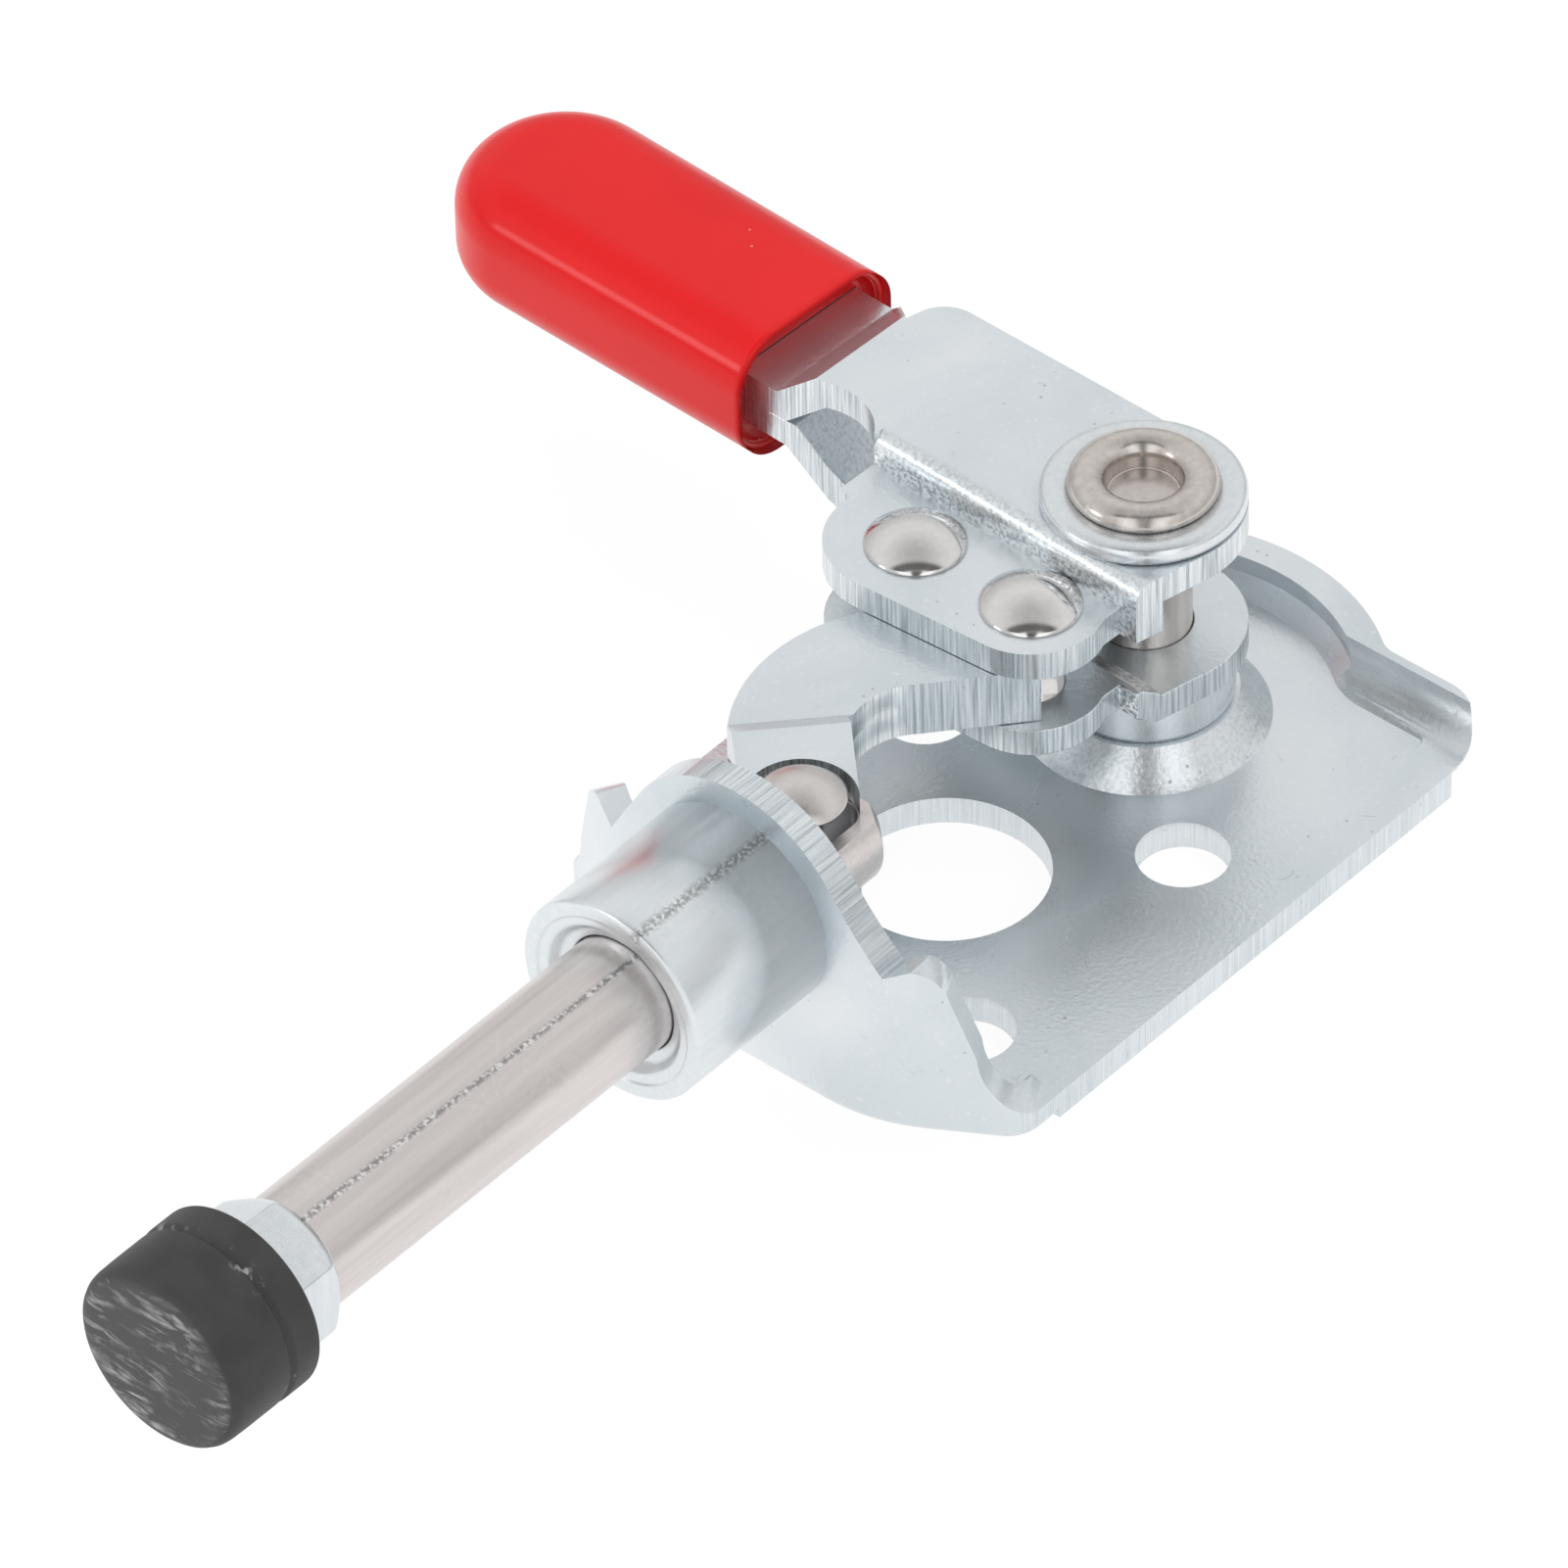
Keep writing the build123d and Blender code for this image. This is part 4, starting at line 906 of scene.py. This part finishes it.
low, high = box_of("tip_screw")
head_back = high[0] - HEAD_T
turns_at = np.arange(low[0], head_back, PITCH / STEPS)
angle = np.arange(THREAD_RING) / THREAD_RING * TAU
phase = (turns_at[:, None] - low[0]) / PITCH - angle / TAU
wave = 2 * np.abs(phase - np.floor(phase) - 0.5)
ends = np.clip((turns_at - low[0]) / RUN_IN, 0.15, 1)[:, None]
out_by = CREST - DEPTH * (1 - np.clip(1.4 * wave - 0.2, 0, 1) * ends)
along = np.repeat(turns_at[:, None], THREAD_RING, axis=1)
head_at = np.array([head_back, head_back, high[0], high[0]])
head_out = np.array([CREST, HEAD_R, HEAD_R, 0.0])
head_at, head_out = np.repeat([head_at, head_out], THREAD_RING, axis=1).reshape(2, 4, THREAD_RING)
along = np.concatenate([along[:1], along, head_at])
out_by = np.concatenate([np.zeros((1, THREAD_RING)), out_by, head_out])
points = np.stack([along, out_by * np.cos(angle), AXIS_Z + out_by * np.sin(angle)], axis=-1)
mesh = grid_mesh("threaded_screw", points)
new_piece("threaded_screw", mesh, zinc_ring, "tip_screw", "tip")

# %% [markdown]
# ### Lock nut
#
# A nut is a hexagon whose corners are cut by a cone at both ends.  Cutting one
# solid with another would give the same, but here both are radii in terms of
# the angle, and a high power mean takes the smaller with a soft edge.

# %% Lock nut
NUT_T = 3.0
ACROSS_HALF = 3.5
BORE = 2.05
SINK = 0.25
FACE_IN = 0.35
CHAMFER = 1.65
NUT_RING = 240

low, high = box_of("lock_nut")
angle = np.arange(NUT_RING) / NUT_RING * TAU
stations = np.array([0, 0.05, 0.12, 0.2, 0.3, 0.45, 0.7, 1.5, 2.3, 2.55, 2.7, 2.8, 2.88, 2.95, 3.0])
toward_flat = np.cos(angle[:, None] - np.radians((0, 60, 120)))
flats = np.sum(np.abs(toward_flat / ACROSS_HALF) ** 70, axis=1) ** (-1 / 70)
depth_in = np.minimum(stations, NUT_T - stations)
cone = ACROSS_HALF + 0.03 + depth_in * CHAMFER
rim = (flats[None, :] ** -24 + cone[:, None] ** -24) ** (-1 / 24)
inward = np.repeat([[ACROSS_HALF - FACE_IN], [BORE + SINK], [BORE]], NUT_RING, axis=1)
out_by = np.concatenate([inward[::-1], rim, inward, inward[-1:]])
along = np.concatenate([[SINK, 0, 0], stations, [NUT_T, NUT_T, NUT_T - SINK, SINK]])
points = np.stack([np.repeat(low[0] + along[:, None] * MM, NUT_RING, axis=1),
                   out_by * MM * np.cos(angle), AXIS_Z + out_by * MM * np.sin(angle)], axis=-1)
mesh = grid_mesh("hexagon_nut", points)
new_piece("hexagon_nut", mesh, zinc_ring, "lock_nut", "plunger")

# %% [markdown]
# ## The dipped grip
#
# The skin is a rounded bar with a round end.  A sphere-ended capsule would be
# simpler, but the real one is flat on top and rolls over at its edges.  So
# each station has an inner frame of two points a side, and a round of one
# radius is rolled about them; at the end the stations swing round a quarter
# circle.  The mouth turns in with a thin lip and leads to the pocket that
# holds the tabs.  A small drip of vinyl hangs at the end.

# %% Grip: sizes and stations
MOUTH_Y = -22.1 * MM
END_Y = -44.3 * MM
MOUTH_HALF = 5.4 * MM
END_HALF = 5.5 * MM
ROLL = 2.7 * MM
BAND_HALF = 0.95 * MM
WALL = 0.95 * MM
LIP = 0.40 * MM
POCKET = 0.9 * MM
GRIP_Z = 11.55 * MM
TAB_HALF = (4.25 * MM, 1.65 * MM)
DRIP_R = 1.5 * MM
DRIP = 0.65 * MM
GRIP_RING = 192

around = (np.arange(GRIP_RING) + 0.5) / GRIP_RING * TAU
side = np.sign(np.cos(around))
level = np.sign(np.sin(around))
round_y = END_Y + END_HALF


def station(half, y, swing, shrink):
    """One ring: two frame points a side, at half less the roll and turned by swing, with a
    circle of the roll less shrink about them."""
    frame_x = (half - ROLL) * np.cos(swing)
    frame_y = y - (half - ROLL) * np.sin(swing)
    roll = ROLL - shrink
    x = side * frame_x + roll * np.cos(swing) * np.cos(around)
    along = frame_y - roll * np.abs(np.cos(around)) * np.sin(swing)
    return np.stack([x, along, level * BAND_HALF + roll * np.sin(around)], axis=-1)


print("the grip is", round((MOUTH_Y - END_Y) / MM, 1), "mm long")

# %% Grip skin
rings = [station(END_HALF, round_y, swing, 0) for swing in np.radians(np.linspace(90, 0, 40))]
share = np.linspace(0, 1, 30)[1:]
straight = round_y + (MOUTH_Y + LIP - round_y) * share
rings += [station(END_HALF + (MOUTH_HALF - END_HALF) * s, y, 0, 0) for s, y in zip(share, straight)]
for turn_in in np.radians(np.linspace(10, 180, 12)):
    rings.append(station(MOUTH_HALF, MOUTH_Y - LIP / 2 + LIP / 2 * np.sin(turn_in), 0,
                         LIP / 2 * (1 - np.cos(turn_in))))
for deeper in np.linspace(0.2 * MM, POCKET, 6):
    shrink = LIP + (WALL - LIP) * (deeper / POCKET) ** 2
    rings.append(station(MOUTH_HALF, MOUTH_Y - deeper, 0, shrink))
floor_y = np.full(GRIP_RING, MOUTH_Y - POCKET)
rings.append(np.stack([side * TAB_HALF[0], floor_y, level * TAB_HALF[1]], axis=-1))
local = np.array(rings)
from_tip = np.hypot(local[..., 0], local[..., 2])
near_end = np.clip((round_y - local[..., 1]) / END_HALF, 0, 1) > 0.7
local[..., 1] -= near_end * DRIP * np.exp(-(from_tip / DRIP_R) ** 4)
points = PIVOT + local[..., :1] * LEVER_X + local[..., 1:2] * LEVER_Y
points[..., 2] = GRIP_Z + local[..., 2]
new_piece("grip_skin", grid_mesh("grip_skin", points), vinyl, "grip", "handle")
